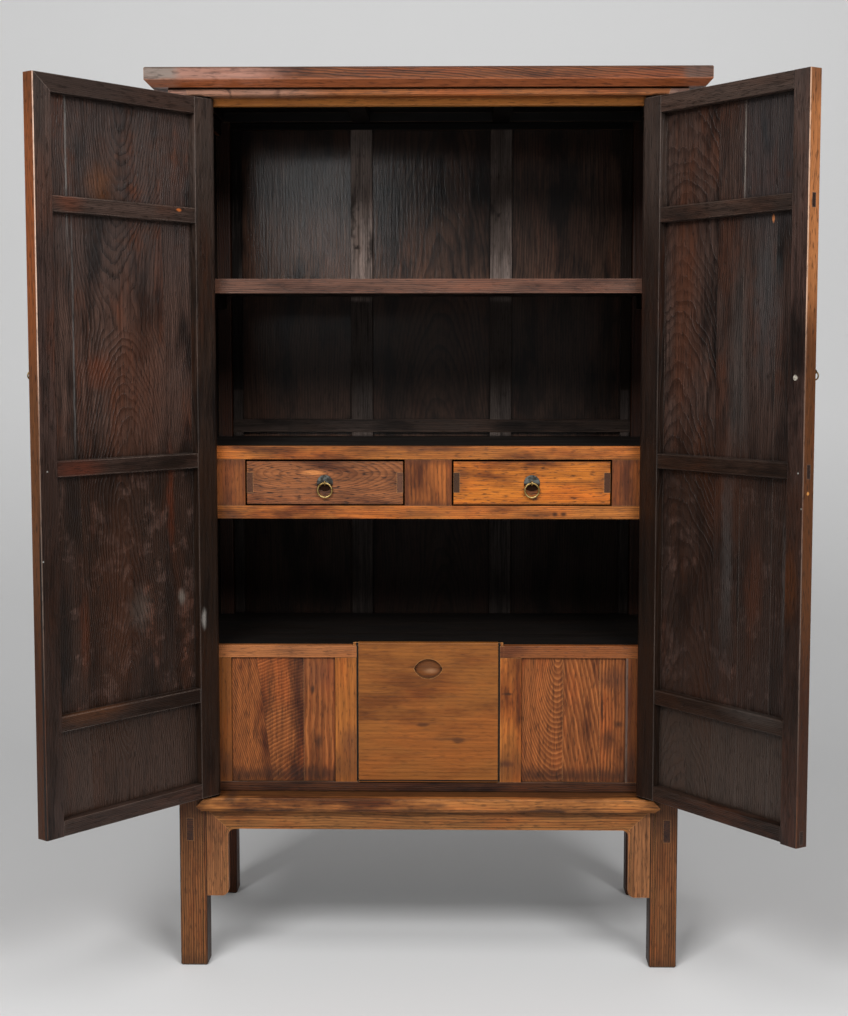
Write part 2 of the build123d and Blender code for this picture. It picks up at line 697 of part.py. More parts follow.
front_plan = [(-top_x, top_front_y), (top_x, top_front_y)]
front_plan += [(field_x, field_front_y), (-field_x, field_front_y)]
rear_plan = [(-top_x, top_rear_y), (top_x, top_rear_y)]
rear_plan += [(field_x, field_rear_y), (-field_x, field_rear_y)]
end_plan = [(top_x, top_front_y), (top_x, top_rear_y), (field_x, field_rear_y), (field_x, field_front_y)]
front_member = across(top_profile(top_front_y, field_front_y), -top_x, top_x)
rear_member = across(top_profile(top_rear_y, field_rear_y), -top_x, top_x)
end_member = fore_aft(top_profile(top_x, field_x), top_front_y, top_rear_y)
post_tenons = []
for post_x in (-half_width + tenon_gap, inner_x + tenon_gap):
    for post_y in (front_y + tenon_gap, rear_post_y + tenon_gap):
        post_tenons.append(block(post_x, post_x + post_tenon, post_y, post_y + post_tenon,
                                 frame_z, frame_z + post_tenon))
corner_reach = field_x + top_mitre_tenon
tongue_low = (frame_z + case_height - top_mitre_tongue_height) / 2
tongue_high = tongue_low + top_mitre_tongue_height
front_tongue_y = field_front_y - top_mitre_tongue_setback
rear_tongue_y = field_rear_y + top_mitre_tongue_setback
front_tongue = block(-corner_reach, corner_reach, front_tongue_y - top_mitre_tongue_width,
                     front_tongue_y, tongue_low, tongue_high)
rear_tongue = block(-corner_reach, corner_reach, rear_tongue_y,
                    rear_tongue_y + top_mitre_tongue_width, tongue_low, tongue_high)
long_cutters = [tongue, *battens, *post_tenons]
front_frame = less((front_member & upright(front_plan, frame_z, case_height)) + front_tongue, *long_cutters)
rear_frame = less((rear_member & upright(rear_plan, frame_z, case_height)) + rear_tongue, *long_cutters)
end_frame = end_member & upright(end_plan, frame_z, case_height)
end_frame = less(end_frame, tongue, front_tongue, rear_tongue, *post_tenons)
save("top_front_rail", front_frame)
save("top_rear_rail", rear_frame)
save("top_end_rails", end_frame, other_side(end_frame))

# Inner work: drawer bank and store front share one plane behind the doors
store_stile_x = hatch_opening + store_stile_width
panel_y0 = work_y + store_panel_setback
panel_y1 = panel_y0 + store_panel_thickness
store_boards = []
left_edges = [-store_end_x - panel_groove, *left_store_seams, -store_stile_x + panel_groove]
right_edges = [store_stile_x - panel_groove, *right_store_seams, store_end_x + panel_groove]
for edges in (left_edges, right_edges):
    for x0, x1 in zip(edges, edges[1:]):
        store_boards.append(block(x0, x1, panel_y0, panel_y1, sill_z, store_rail_z + panel_groove))
groove_y0 = work_y - hatch_proud + (hatch_thickness - hatch_tongue_thickness) / 2 - hatch_slack
groove_y1 = groove_y0 + hatch_tongue_thickness + 2 * hatch_slack
grooves = []
for way in (-1, 1):
    x0 = way * hatch_opening
    grooves.append(block(x0, x0 + way * hatch_groove, groove_y0, groove_y1, sill_z, store_top))
store_stiles = []
for x0, x1 in ((-inner_x, -store_end_x), (-store_stile_x, -hatch_opening), (hatch_opening, store_stile_x),
               (store_end_x, inner_x)):
    store_stiles.append(member(x0, x1, work_y, work_back_y, sill_z, store_rail_z, Axis.Z))
save("store_rails", *[less(rail, *grooves, *store_boards) for rail in (left_store_rail, right_store_rail)])
save("store_stiles", *[less(stile, *grooves, *store_boards) for stile in store_stiles])
save("store_panels", *store_boards)

bank_stiles = []
for x0, x1 in ((-inner_x, -drawer_outer_edge), (-drawer_inner_edge, drawer_inner_edge),
               (drawer_outer_edge, inner_x)):
    stile = member(x0, x1, work_y, work_back_y, bank_open_z, bank_rail_z, Axis.Z)
    stile = stile + block(x0 + tenon_shoulder, x1 - tenon_shoulder, tenon_y, tenon_back_y,
                          bank_open_z - work_tenon_length, bank_rail_z + work_tenon_length)
    bank_stiles.append(stile)
save("bank_stiles", *bank_stiles)
save("bank_top_rail", less(bank_top_rail, *bank_stiles))
save("bank_bottom_rail", less(bank_bottom_rail, *bank_stiles))

# Runners: each drawer slides on two, between guide lips, and a bearer carries their rear ends
runner_top = bank_open_z
runners = []
for edge_x, way in ((-drawer_outer_edge, -1), (-drawer_inner_edge, 1), (drawer_inner_edge, -1),
                    (drawer_outer_edge, 1)):
    guide_face_x = edge_x - way * (drawer_side_gap - drawer_guide_gap)
    guide_x = guide_face_x + way * runner_guide_width
    foot_x = guide_x - way * runner_width
    foot_z = runner_top - runner_height
    guide_z = runner_top + runner_guide_height
    section = [(foot_x, foot_z), (guide_x, foot_z), (guide_x, guide_z), (guide_face_x, guide_z)]
    section += [(guide_face_x, runner_top), (foot_x, runner_top)]
    runners.append(fore_aft(section, work_back_y, bearer_y))
bearer = block(-inner_x, inner_x, bearer_y, back_in_y, bank_foot, bank_open_z)
save("drawer_runners", *runners)
save("drawer_bearer", bearer)

# Floor, decks and shelf
rear_posts = [rear_post, other_side(rear_post)]


def deck(z0, thickness):
    """Return the boards of one level, from the inner work to the back."""
    boards = boards_between(-panel_in_x, panel_in_x, work_back_y, back_in_y, z0, z0 + thickness, deck_boards)
    return [less(board, *rear_posts) for board in boards]


save("floor_boards", *deck(floor_foot, board_thickness))
save("store_deck", *deck(store_deck_z, board_thickness))
save("drawer_deck", *deck(bank_deck_z, board_thickness))

shelf_z = shelf_top - shelf_board_thickness
shelf_front_y = work_y + edge_round
shelf_back_y = shelf_front_y + shelf_front_width
cleat_x = panel_in_x - shelf_cleat_width
front_board = block(-panel_in_x, panel_in_x, work_back_y, shelf_back_y, shelf_z, shelf_top)
front_board = front_board + block(-inner_x, inner_x, shelf_front_y, work_back_y,
                                  shelf_top - shelf_front_height, shelf_top)
front_board = front_board + block(-cleat_x, cleat_x, work_back_y, shelf_back_y,
                                  shelf_top - shelf_front_height, shelf_z)
shelf = boards_between(-panel_in_x, panel_in_x, shelf_back_y, back_in_y, shelf_z, shelf_top, deck_boards)
save("shelf_boards", front_board, *[less(board, *rear_posts) for board in shelf])
cleat = member(cleat_x, panel_in_x, post_back_y, rear_post_y, shelf_z - shelf_cleat_height, shelf_z, Axis.Y)
save("shelf_cleats", cleat, other_side(cleat))

# Doors, built closed and then swung open
left_pieces = left_door(left_stile_corner, left_door_seams, left_top_mitred, left_tenons_show,
                        left_stile_horn, False)
for name, pieces in left_pieces.items():
    save(f"left_door_{name}", *[swing(piece, -pivot_x, -left_door_angle) for piece in pieces])
right_pieces = left_door(right_stile_corner, right_door_seams, right_top_mitred, right_tenons_show,
                         right_stile_horn, True)
for name, pieces in right_pieces.items():
    pieces = [other_side(piece) for piece in pieces]
    save(f"right_door_{name}", *[swing(piece, pivot_x, right_door_angle) for piece in pieces])

# Drawers with their ring pulls
for name, pieces in right_drawer().items():
    save(f"right_drawer_{name}", *pieces)
    save(f"left_drawer_{name}", *[other_side(piece) for piece in pieces])

# Hatch: a board that lifts in the grooves of the store stiles
hatch_y = work_y - hatch_proud
hatch_back_y = hatch_y + hatch_thickness
hatch_z = sill_z + hatch_lift_gap
hatch_top = store_top + hatch_rise
hatch = block(-hatch_half_width, hatch_half_width, hatch_y, hatch_back_y, hatch_z, hatch_top)
hatch = fillet(hatch.faces().sort_by(Axis.Y)[0].edges(), edge_round)
tongue_reach = hatch_half_width + hatch_tongue
tongue_y = groove_y0 + hatch_slack
hatch = hatch + block(-tongue_reach, tongue_reach, tongue_y, tongue_y + hatch_tongue_thickness,
                      hatch_z, hatch_top)
finger_z = hatch_top - finger_drop
bow_radius = (finger_width ** 2 + finger_height ** 2) / (4 * finger_height)
bow_shift = bow_radius - finger_height / 2
upper_bow = rod_y(0, finger_z + bow_shift, hatch_y, hatch_y + finger_depth, bow_radius)
lower_bow = rod_y(0, finger_z - bow_shift, hatch_y, hatch_y + finger_depth, bow_radius)
save("hatch_board", hatch - (upper_bow & lower_bow))
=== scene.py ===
import math
import bpy
from mathutils import Matrix, Vector


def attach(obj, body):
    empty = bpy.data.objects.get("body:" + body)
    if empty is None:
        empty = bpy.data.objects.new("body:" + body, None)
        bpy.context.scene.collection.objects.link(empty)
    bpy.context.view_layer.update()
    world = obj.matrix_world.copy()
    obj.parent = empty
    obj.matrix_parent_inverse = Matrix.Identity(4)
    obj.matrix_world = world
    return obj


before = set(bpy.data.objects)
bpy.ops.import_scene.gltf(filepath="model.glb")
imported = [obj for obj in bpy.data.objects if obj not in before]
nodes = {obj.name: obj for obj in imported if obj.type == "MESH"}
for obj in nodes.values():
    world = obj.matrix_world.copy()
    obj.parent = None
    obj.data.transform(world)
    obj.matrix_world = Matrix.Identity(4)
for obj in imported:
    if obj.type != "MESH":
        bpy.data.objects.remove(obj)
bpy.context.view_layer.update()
scene = bpy.context.scene
print("frame loaded:", len(nodes), "wooden and brass parts")


def linear(code):  # sRGB hex to the linear colour that shaders want
    channels = [int(code[i:i + 2], 16) / 255 for i in (0, 2, 4)]
    return [c / 12.92 if c <= 0.04045 else ((c + 0.055) / 1.055) ** 2.4 for c in channels] + [1.0]


def add(tree, kind, settings=None, links=None):  # one node, its settings and what feeds it
    node = tree.nodes.new(kind)
    for key, value in (settings or {}).items():
        setattr(node, key, value)
    for key, value in (links or {}).items():
        if isinstance(value, bpy.types.Node):
            value = value.outputs[0]
        if isinstance(value, bpy.types.NodeSocket):
            tree.links.new(value, node.inputs[key])
        elif isinstance(value, str):
            node.inputs[key].default_value = linear(value)
        else:
            node.inputs[key].default_value = value
    return node


scales = {  # pattern steps to a metre: across the face, through the board, along the grain
    "bend": (2.0, 2.0, 2.2),  # slow bends of the rings, half a metre long
    "ripple": (30.0, 30.0, 9.0),  # uneven ring lines, 33 mm wide and 110 mm long
    "pores": (300.0, 300.0, 50.0),  # real pores are 0.3 mm wide, drawn 3 mm wide so that they show
    "fibre": (170.0, 170.0, 8.0),  # real fibres are too fine to show, drawn 6 mm wide
    "stain": (16.0, 16.0, 4.5),  # patches 60 mm wide and 220 mm long
    "tear": 34.0,  # the ragged edges of marks, 30 mm from one tear to the next
    "board": (0.31, 0.17, 2.37),  # how far the patterns move from one board to the next, in metres
}
# settings that many nodes share
smooth, colours = {"interpolation_type": "SMOOTHSTEP"}, {"data_type": "RGBA"}
times, plus, minus = ({"operation": kind} for kind in ("MULTIPLY", "ADD", "SUBTRACT"))


def makeRingFigure():  # growth rings cut by the board's face, with pores and slow stains
    tree = bpy.data.node_groups.new("ringFigure", "ShaderNodeTree")
    for name, kind in (("Point", "Vector"), ("Pith", "Vector"), ("Board", "Float"), ("Ring width", "Float"),
                       ("Ripple", "Float"), ("Sway", "Float"), ("Along", "Float")):
        tree.interface.new_socket(name, in_out="INPUT", socket_type="NodeSocket" + kind)
    for name in ("Rings", "Pores", "Fibre", "Stain", "Blush", "Tone"):
        tree.interface.new_socket(name, in_out="OUTPUT", socket_type="NodeSocketFloat")
    given = tree.nodes.new("NodeGroupInput").outputs
    result = tree.nodes.new("NodeGroupOutput")

    shift = add(tree, "ShaderNodeVectorMath", {"operation": "SCALE"},
                {0: scales["board"], "Scale": given["Board"]})
    point = add(tree, "ShaderNodeVectorMath", plus, {0: given["Point"], 1: shift})
    parts = add(tree, "ShaderNodeSeparateXYZ", None, {0: given["Point"]}).outputs
    pith = add(tree, "ShaderNodeSeparateXYZ", None, {0: given["Pith"]}).outputs

    bendPoint = add(tree, "ShaderNodeVectorMath", times, {0: point, 1: scales["bend"]})
    bend = add(tree, "ShaderNodeTexNoise", None,
               {"Vector": bendPoint, "Scale": 1.0, "Detail": 3.0, "Roughness": 0.45})
    bend = add(tree, "ShaderNodeSeparateColor", None, {0: bend.outputs["Color"]}).outputs
    swayed = []
    for channel in (0, 1):
        centred = add(tree, "ShaderNodeMath", minus, {0: bend[channel], 1: 0.5})
        swayed.append(add(tree, "ShaderNodeMath", times, {0: centred, 1: given["Sway"]}))
    across = add(tree, "ShaderNodeMath", minus, {0: parts[0], 1: pith[0]})
    across = add(tree, "ShaderNodeMath", plus, {0: across, 1: swayed[0]})
    rise = add(tree, "ShaderNodeMath", {"operation": "MULTIPLY_ADD"},
               {0: given["Along"], 1: pith[2], 2: pith[1]})
    rise = add(tree, "ShaderNodeMath", plus, {0: rise, 1: parts[1]})
    rise = add(tree, "ShaderNodeMath", plus, {0: rise, 1: swayed[1]})
    spot = add(tree, "ShaderNodeCombineXYZ", None, {0: across, 1: rise})
    radius = add(tree, "ShaderNodeVectorMath", {"operation": "LENGTH"}, {0: spot}).outputs["Value"]

    ripplePoint = add(tree, "ShaderNodeVectorMath", times, {0: point, 1: scales["ripple"]})
    ripple = add(tree, "ShaderNodeTexNoise", None,
                 {"Vector": ripplePoint, "Scale": 1.0, "Detail": 5.0, "Roughness": 0.62})
    ripple = add(tree, "ShaderNodeMath", minus, {0: ripple, 1: 0.5})
    phase = add(tree, "ShaderNodeMath", {"operation": "DIVIDE"}, {0: radius, 1: given["Ring width"]})
    phase = add(tree, "ShaderNodeMath", {"operation": "MULTIPLY_ADD"},
                {0: ripple, 1: given["Ripple"], 2: phase})
    year = add(tree, "ShaderNodeMath", {"operation": "FLOOR"}, {0: phase})
    season = add(tree, "ShaderNodeMath", {"operation": "FRACT"}, {0: phase})
    latewood = add(tree, "ShaderNodeMapRange", smooth,
                   {"Value": season, "From Min": 0.3, "From Max": 0.86})
    ending = add(tree, "ShaderNodeMapRange", smooth,
                 {"Value": season, "From Min": 1.0, "From Max": 0.9})
    yearMark = add(tree, "ShaderNodeMath", {"operation": "MULTIPLY_ADD"}, {0: given["Board"], 1: 7.3, 2: year})
    yearTone = add(tree, "ShaderNodeTexWhiteNoise", {"noise_dimensions": "1D"}, {"W": yearMark})
    strength = add(tree, "ShaderNodeMapRange", None, {"Value": yearTone, "To Min": 0.45, "To Max": 1.0})
    rings = add(tree, "ShaderNodeMath", times, {0: latewood, 1: ending})
    rings = add(tree, "ShaderNodeMath", times, {0: rings, 1: strength})

    porePoint = add(tree, "ShaderNodeVectorMath", times, {0: point, 1: scales["pores"]})
    pores = add(tree, "ShaderNodeTexNoise", None, {"Vector": porePoint, "Scale": 1.0, "Detail": 2.0})
    pores = add(tree, "ShaderNodeMapRange", smooth,
                {"Value": pores, "From Min": 0.52, "From Max": 0.72})
    fibrePoint = add(tree, "ShaderNodeVectorMath", times, {0: point, 1: scales["fibre"]})
    fibre = add(tree, "ShaderNodeTexNoise", None,
                {"Vector": fibrePoint, "Scale": 1.0, "Detail": 4.0, "Roughness": 0.6})
    stainPoint = add(tree, "ShaderNodeVectorMath", times, {0: point, 1: scales["stain"]})
    stain = add(tree, "ShaderNodeTexNoise", None,
                {"Vector": stainPoint, "Scale": 1.0, "Detail": 4.0, "Roughness": 0.62})
    stain = add(tree, "ShaderNodeSeparateColor", None, {0: stain.outputs["Color"]}).outputs
    tone = add(tree, "ShaderNodeTexWhiteNoise", {"noise_dimensions": "1D"}, {"W": given["Board"]})
    for name, value in (("Rings", rings.outputs[0]), ("Pores", pores.outputs[0]), ("Fibre", fibre.outputs[0]),
                        ("Stain", stain[0]), ("Blush", stain[1]), ("Tone", tone.outputs[0])):
        tree.links.new(value, result.inputs[name])
    return tree


def emptyMaterial(name):
    material = bpy.data.materials.new(name)
    material.use_nodes = True
    material.node_tree.nodes.clear()
    return material, material.node_tree


ringFigure = makeRingFigure()

# Old northern elm under worn lacquer: strong ring lines, open pores, satin where hands and cloths rub it
elm = {
    "order": "xyz",  # across the face, through the board, along the grain
    "door": None, "front": -0.2817,  # the door it belongs to, and how far back its outer face reaches
    "innerMarks": False,  # whether the marks stay on faces that look into the cabinet
    "cuts": (), "seamWidth": 0.0009,  # joints between boards, and half the width of their line
    "piths": ((0.6, 0.0, 0.0),),  # each board's pith: across, depth, slope and, where it differs, ring width
    "ringWidth": 0.004, "ripple": 1.0, "sway": 0.03, "board": 0.0, "waist": None,
    "early": "9A6234", "late": "5A351C", "innerEarly": None, "innerLate": None, "ringAmount": 0.75,
    "stain": "6E5448", "stainAmount": 0.75, "stainRange": (0.45, 0.68),
    "blush": (1.28, 0.9, 0.66), "blushAmount": 0.5, "blushRange": (0.46, 0.66),
    "porous": 0.5, "fibre": 0.36, "toneSpread": 0.16, "seam": "1A110C", "seamAmount": 0.5,
    "worn": "B98552", "wornAmount": 0.4, "wornWidth": 0.0018,
    # a near-black colour for dirt in the pores, and for dirt and painted shade where surfaces close in
    "dirtAndShade": "120B07", "dirtAndShadeAmount": 0.85, "dirtAndShadeReach": 0.012,
    "roughness": (0.4, 0.62), "shine": 0.22, "lacquer": 0.0, "lacquerRoughness": 0.2, "lacquerFoot": None,
    "relief": 0.0003, "brushRelief": 0.0006,  # depth of the pores and of brush strokes
    "marks": (),  # stains and worn places: shape, middle, half size, softness, ragged edge, colour, amount
}
# each door's pivot and how far it stands open, in degrees
hinges = {"left": (-0.447, -0.269, 127.8), "right": (0.447, -0.269, -124.6)}
freeEdge = 0.0014  # how far a closed door's bare free edge reaches from the middle
keptColour = 0.55  # how much of its clean colour a door's outer face has kept
axes = {"x": 0, "y": 1, "z": 2}
far = 9.0  # a mark's half size along an axis that doesn't bound it


# marks that go right through y: shape, x, z, half width, half height, softness, ragged edge, colour, amount
def faceMarks(y, *rows):
    return tuple((shape, (x, y, z), (wide, far, high), *rest) for shape, x, z, wide, high, *rest in rows)


# marks on a closed door's free edge, 1.6 mm deep: y, z, half thickness, half height, softness, colour, amount
def edgeMarks(*rows):
    return tuple(("box", (0.0, y, z), (0.0016, thick, high), soft, 0.0, colour, amount)
                 for y, z, thick, high, soft, colour, amount in rows)


def elmFinish(name, look):
    look = {**elm, **look}
    material, tree = emptyMaterial(name)
    where = add(tree, "ShaderNodeTexCoord").outputs
    place, facing = where["Object"], where["Normal"]
    if look["door"]:  # turn an open door's pattern back to its closed place
        x, y, angle = hinges[look["door"]]
        turn = Matrix.Rotation(math.radians(angle), 3, "Z")
        start = Vector((x, y, 0)) - turn @ Vector((x, y, 0))
        place = add(tree, "ShaderNodeMapping", None,
                    {"Vector": place, "Location": start, "Rotation": (0, 0, math.radians(angle))}).outputs[0]
    at = add(tree, "ShaderNodeSeparateXYZ", None, {0: place}).outputs
    order = [at[axes[letter]] for letter in look["order"]]
    point = add(tree, "ShaderNodeCombineXYZ", None, dict(enumerate(order)))

    piths = [tuple(pith) + (look["ringWidth"],) * (4 - len(pith)) for pith in look["piths"]]
    pith = add(tree, "ShaderNodeCombineXYZ", None, dict(enumerate(piths[0][:3])))
    width, board, seams = piths[0][3], look["board"], 0.0
    for cut, nextPith in zip(look["cuts"], piths[1:]):
        edge = cut if isinstance(cut, tuple) else (cut, 0.0)  # place across the grain, and its lean along it
        line = add(tree, "ShaderNodeMath", {"operation": "MULTIPLY_ADD"},
                   {0: order[2], 1: -edge[1], 2: order[0]})
        beyond = add(tree, "ShaderNodeMath", {"operation": "GREATER_THAN"}, {0: line, 1: edge[0]})
        pith = add(tree, "ShaderNodeMix", {"data_type": "VECTOR"},
                   {0: beyond, 4: pith, 5: nextPith[:3]}).outputs[1]
        width = add(tree, "ShaderNodeMix", None, {0: beyond, 2: width, 3: nextPith[3]}).outputs[0]
        board = add(tree, "ShaderNodeMath", plus, {0: board, 1: beyond})
        seam = add(tree, "ShaderNodeMath", {"operation": "COMPARE"},
                   {0: line, 1: edge[0], 2: look["seamWidth"]})
        seams = add(tree, "ShaderNodeMath", {"operation": "MAXIMUM"}, {0: seams, 1: seam}).outputs[0]

    along = order[2]
    if look["waist"]:  # the arches point down above this height and up below it
        along = add(tree, "ShaderNodeMath", minus, {0: along, 1: look["waist"]})
        along = add(tree, "ShaderNodeMath", {"operation": "ABSOLUTE"}, {0: along})
    figure = add(tree, "ShaderNodeGroup", {"node_tree": ringFigure},
                 {"Point": point, "Pith": pith, "Board": board, "Ring width": width, "Along": along,
                  "Ripple": look["ripple"], "Sway": look["sway"]}).outputs

    if look["door"]:  # dark behind, bare on the outer face and the free edge
        outerFace = add(tree, "ShaderNodeMath", {"operation": "LESS_THAN"}, {0: at[1], 1: look["front"]})
        middle = add(tree, "ShaderNodeMath", {"operation": "ABSOLUTE"}, {0: at[0]})
        bareEdge = add(tree, "ShaderNodeMath", {"operation": "LESS_THAN"}, {0: middle, 1: freeEdge})
        inside = add(tree, "ShaderNodeMath", {"operation": "MAXIMUM"}, {0: outerFace, 1: bareEdge})
        inside = add(tree, "ShaderNodeMath", minus, {0: 1.0, 1: inside}).outputs[0]
    else:
        # a face looks inwards where it turns against its own place
        flat = add(tree, "ShaderNodeVectorMath", times, {0: place, 1: (-25.0, -25.0, 0.0)})
        inside = add(tree, "ShaderNodeVectorMath", {"operation": "DOT_PRODUCT"},
                     {0: flat, 1: facing}).outputs["Value"]
        inside = add(tree, "ShaderNodeClamp", None, {0: inside}).outputs[0]
    early = add(tree, "ShaderNodeMix", colours,
                {0: inside, 6: look["early"], 7: look["innerEarly"] or look["early"]}).outputs[2]
    late = add(tree, "ShaderNodeMix", colours,
               {0: inside, 6: look["late"], 7: look["innerLate"] or look["late"]}).outputs[2]
    ringAmount = add(tree, "ShaderNodeMath", times,
                     {0: figure["Rings"], 1: look["ringAmount"]})
    colour = add(tree, "ShaderNodeMix", colours, {0: ringAmount, 6: early, 7: late}).outputs[2]
    low, high = 1 - look["fibre"], 1 + look["fibre"]
    fibre = add(tree, "ShaderNodeMapRange", None,
                {"Value": figure["Fibre"], "From Min": 0.3, "From Max": 0.7, "To Min": low, "To Max": high})
    low, high = 1 - look["toneSpread"], 1 + look["toneSpread"]
    tone = add(tree, "ShaderNodeMapRange", None, {"Value": figure["Tone"], "To Min": low, "To Max": high})
    shade = add(tree, "ShaderNodeMath", times, {0: fibre, 1: tone})
    colour = add(tree, "ShaderNodeVectorMath", {"operation": "SCALE"}, {0: colour, "Scale": shade})
    clean = colour
    start, end = look["blushRange"]
    blushed = add(tree, "ShaderNodeMapRange", smooth,
                  {"Value": figure["Blush"], "From Min": start, "From Max": end, "To Max": look["blushAmount"]})
    redder = add(tree, "ShaderNodeVectorMath", times, {0: colour, 1: look["blush"]})
    colour = add(tree, "ShaderNodeMix", colours, {0: blushed, 6: colour, 7: redder}).outputs[2]
    start, end = look["stainRange"]
    stained = add(tree, "ShaderNodeMapRange", smooth,
                  {"Value": figure["Stain"], "From Min": start, "From Max": end, "To Max": look["stainAmount"]})
    colour = add(tree, "ShaderNodeMix", {"data_type": "RGBA", "blend_type": "MULTIPLY"},
                 {0: stained, 6: colour, 7: look["stain"]}).outputs[2]

    unmarked = colour
    if look["marks"]:
        rag = add(tree, "ShaderNodeTexNoise", None,
                  {"Vector": place, "Scale": scales["tear"], "Detail": 3.0, "Roughness": 0.6})
        rag = add(tree, "ShaderNodeVectorMath", minus,
                  {0: rag.outputs["Color"], 1: (0.5, 0.5, 0.5)})
    for shape, middle, half, soft, ragged, tint, amount in look["marks"]:
        torn = add(tree, "ShaderNodeVectorMath", {"operation": "SCALE"}, {0: rag, "Scale": ragged})
        torn = add(tree, "ShaderNodeVectorMath", plus, {0: torn, 1: place})
        torn = add(tree, "ShaderNodeVectorMath", minus, {0: torn, 1: middle})
        torn = add(tree, "ShaderNodeVectorMath", {"operation": "DIVIDE"}, {0: torn, 1: half})
        if shape == "box":
            torn = add(tree, "ShaderNodeVectorMath", {"operation": "ABSOLUTE"}, {0: torn})
            reach = add(tree, "ShaderNodeSeparateXYZ", None, {0: torn}).outputs
            most = add(tree, "ShaderNodeMath", {"operation": "MAXIMUM"}, {0: reach[0], 1: reach[1]})
            most = add(tree, "ShaderNodeMath", {"operation": "MAXIMUM"}, {0: most, 1: reach[2]}).outputs[0]
        else:
            most = add(tree, "ShaderNodeVectorMath", {"operation": "LENGTH"}, {0: torn}).outputs["Value"]
        mark = add(tree, "ShaderNodeMapRange", smooth,
                   {"Value": most, "From Min": 1 + soft, "From Max": 1 - soft, "To Max": amount})
        fleck = add(tree, "ShaderNodeMapRange", None,
                    {"Value": figure["Fibre"], "From Min": 0.3, "From Max": 0.7, "To Min": 0.6, "To Max": 1.15})
        mark = add(tree, "ShaderNodeMath", {"operation": "MULTIPLY", "use_clamp": True}, {0: mark, 1: fleck})
        colour = add(tree, "ShaderNodeMix", colours, {0: mark, 6: colour, 7: tint}).outputs[2]
    if look["door"]:  # the outer face has kept its colour
        kept = add(tree, "ShaderNodeMath", times, {0: outerFace, 1: keptColour})
        colour = add(tree, "ShaderNodeMix", colours, {0: kept, 6: colour, 7: clean}).outputs[2]
    elif look["innerMarks"]:
        colour = add(tree, "ShaderNodeMix", colours, {0: inside, 6: unmarked, 7: colour}).outputs[2]
    if look["cuts"]:  # open joints, in broken lines
        broken = add(tree, "ShaderNodeMapRange", None,
                     {"Value": figure["Stain"], "From Min": 0.35, "From Max": 0.6,
                      "To Max": look["seamAmount"]})
        seams = add(tree, "ShaderNodeMath", times, {0: broken, 1: seams})
        colour = add(tree, "ShaderNodeMix", colours, {0: seams, 6: colour, 7: look["seam"]}).outputs[2]
    porous = add(tree, "ShaderNodeMath", times, {0: figure["Pores"], 1: look["porous"]})
    colour = add(tree, "ShaderNodeMix", colours, {0: porous, 6: colour, 7: look["dirtAndShade"]}).outputs[2]

    rounded = add(tree, "ShaderNodeBevel", {"samples": 4}, {"Radius": look["wornWidth"]})
    sharp = add(tree, "ShaderNodeNewGeometry").outputs["Normal"]
    turned = add(tree, "ShaderNodeVectorMath", {"operation": "DOT_PRODUCT"},
                 {0: rounded, 1: sharp}).outputs["Value"]
    worn = add(tree, "ShaderNodeMapRange", None,
               {"Value": turned, "From Min": 0.99, "From Max": 0.86, "To Max": look["wornAmount"] * 2})
    worn = add(tree, "ShaderNodeMath", times, {0: worn, 1: figure["Fibre"]})
    colour = add(tree, "ShaderNodeMix", colours, {0: worn, 6: colour, 7: look["worn"]}).outputs[2]
    # darkening found by ambient occlusion where surfaces close in: dirt in the corners, and painted shade there
    closed = add(tree, "ShaderNodeAmbientOcclusion", {"samples": 4},
                 {"Distance": look["dirtAndShadeReach"]}).outputs["AO"]
    dirtAndShade = add(tree, "ShaderNodeMapRange", smooth,
                {"Value": closed, "From Min": 0.8, "From Max": 0.3, "To Max": look["dirtAndShadeAmount"]})
    colour = add(tree, "ShaderNodeMix", colours, {0: dirtAndShade, 6: colour, 7: look["dirtAndShade"]}).outputs[2]

    gloss, dull = look["roughness"]
    rough = add(tree, "ShaderNodeMapRange", None,
                {"Value": figure["Stain"], "From Min": 0.3, "From Max": 0.7, "To Min": gloss, "To Max": dull})
    height = add(tree, "ShaderNodeMath", {"operation": "MULTIPLY_ADD"},
                 {0: figure["Pores"], 1: -0.8, 2: figure["Rings"]})
    bump = add(tree, "ShaderNodeBump", None, {"Height": height, "Distance": look["relief"], "Strength": 0.8})
    brushed = add(tree, "ShaderNodeBump", None,
                  {"Height": figure["Fibre"], "Distance": look["brushRelief"], "Strength": 0.5})
    lacquer = look["lacquer"]
    if look["lacquerFoot"]:  # rubbed away under this height
        lacquer = add(tree, "ShaderNodeMapRange", None,
                      {"Value": at[2], "From Min": look["lacquerFoot"] - 0.02, "From Max": look["lacquerFoot"],
                       "To Max": lacquer})
    shader = add(tree, "ShaderNodeBsdfPrincipled", None,
                 {"Base Color": colour, "Roughness": rough, "Normal": bump, "Specular IOR Level": look["shine"],
                  "Coat Weight": lacquer, "Coat Roughness": look["lacquerRoughness"], "Coat Normal": brushed})
    add(tree, "ShaderNodeOutputMaterial", None, {"Surface": shader})
    return material


def dress(material, *names):  # give CAD nodes their finish
    for name in names:
        mesh = nodes[name].data
        mesh.materials.clear()
        mesh.materials.append(material)


def dressWood(name, look, *parts):
    dress(elmFinish(name, look), *parts)


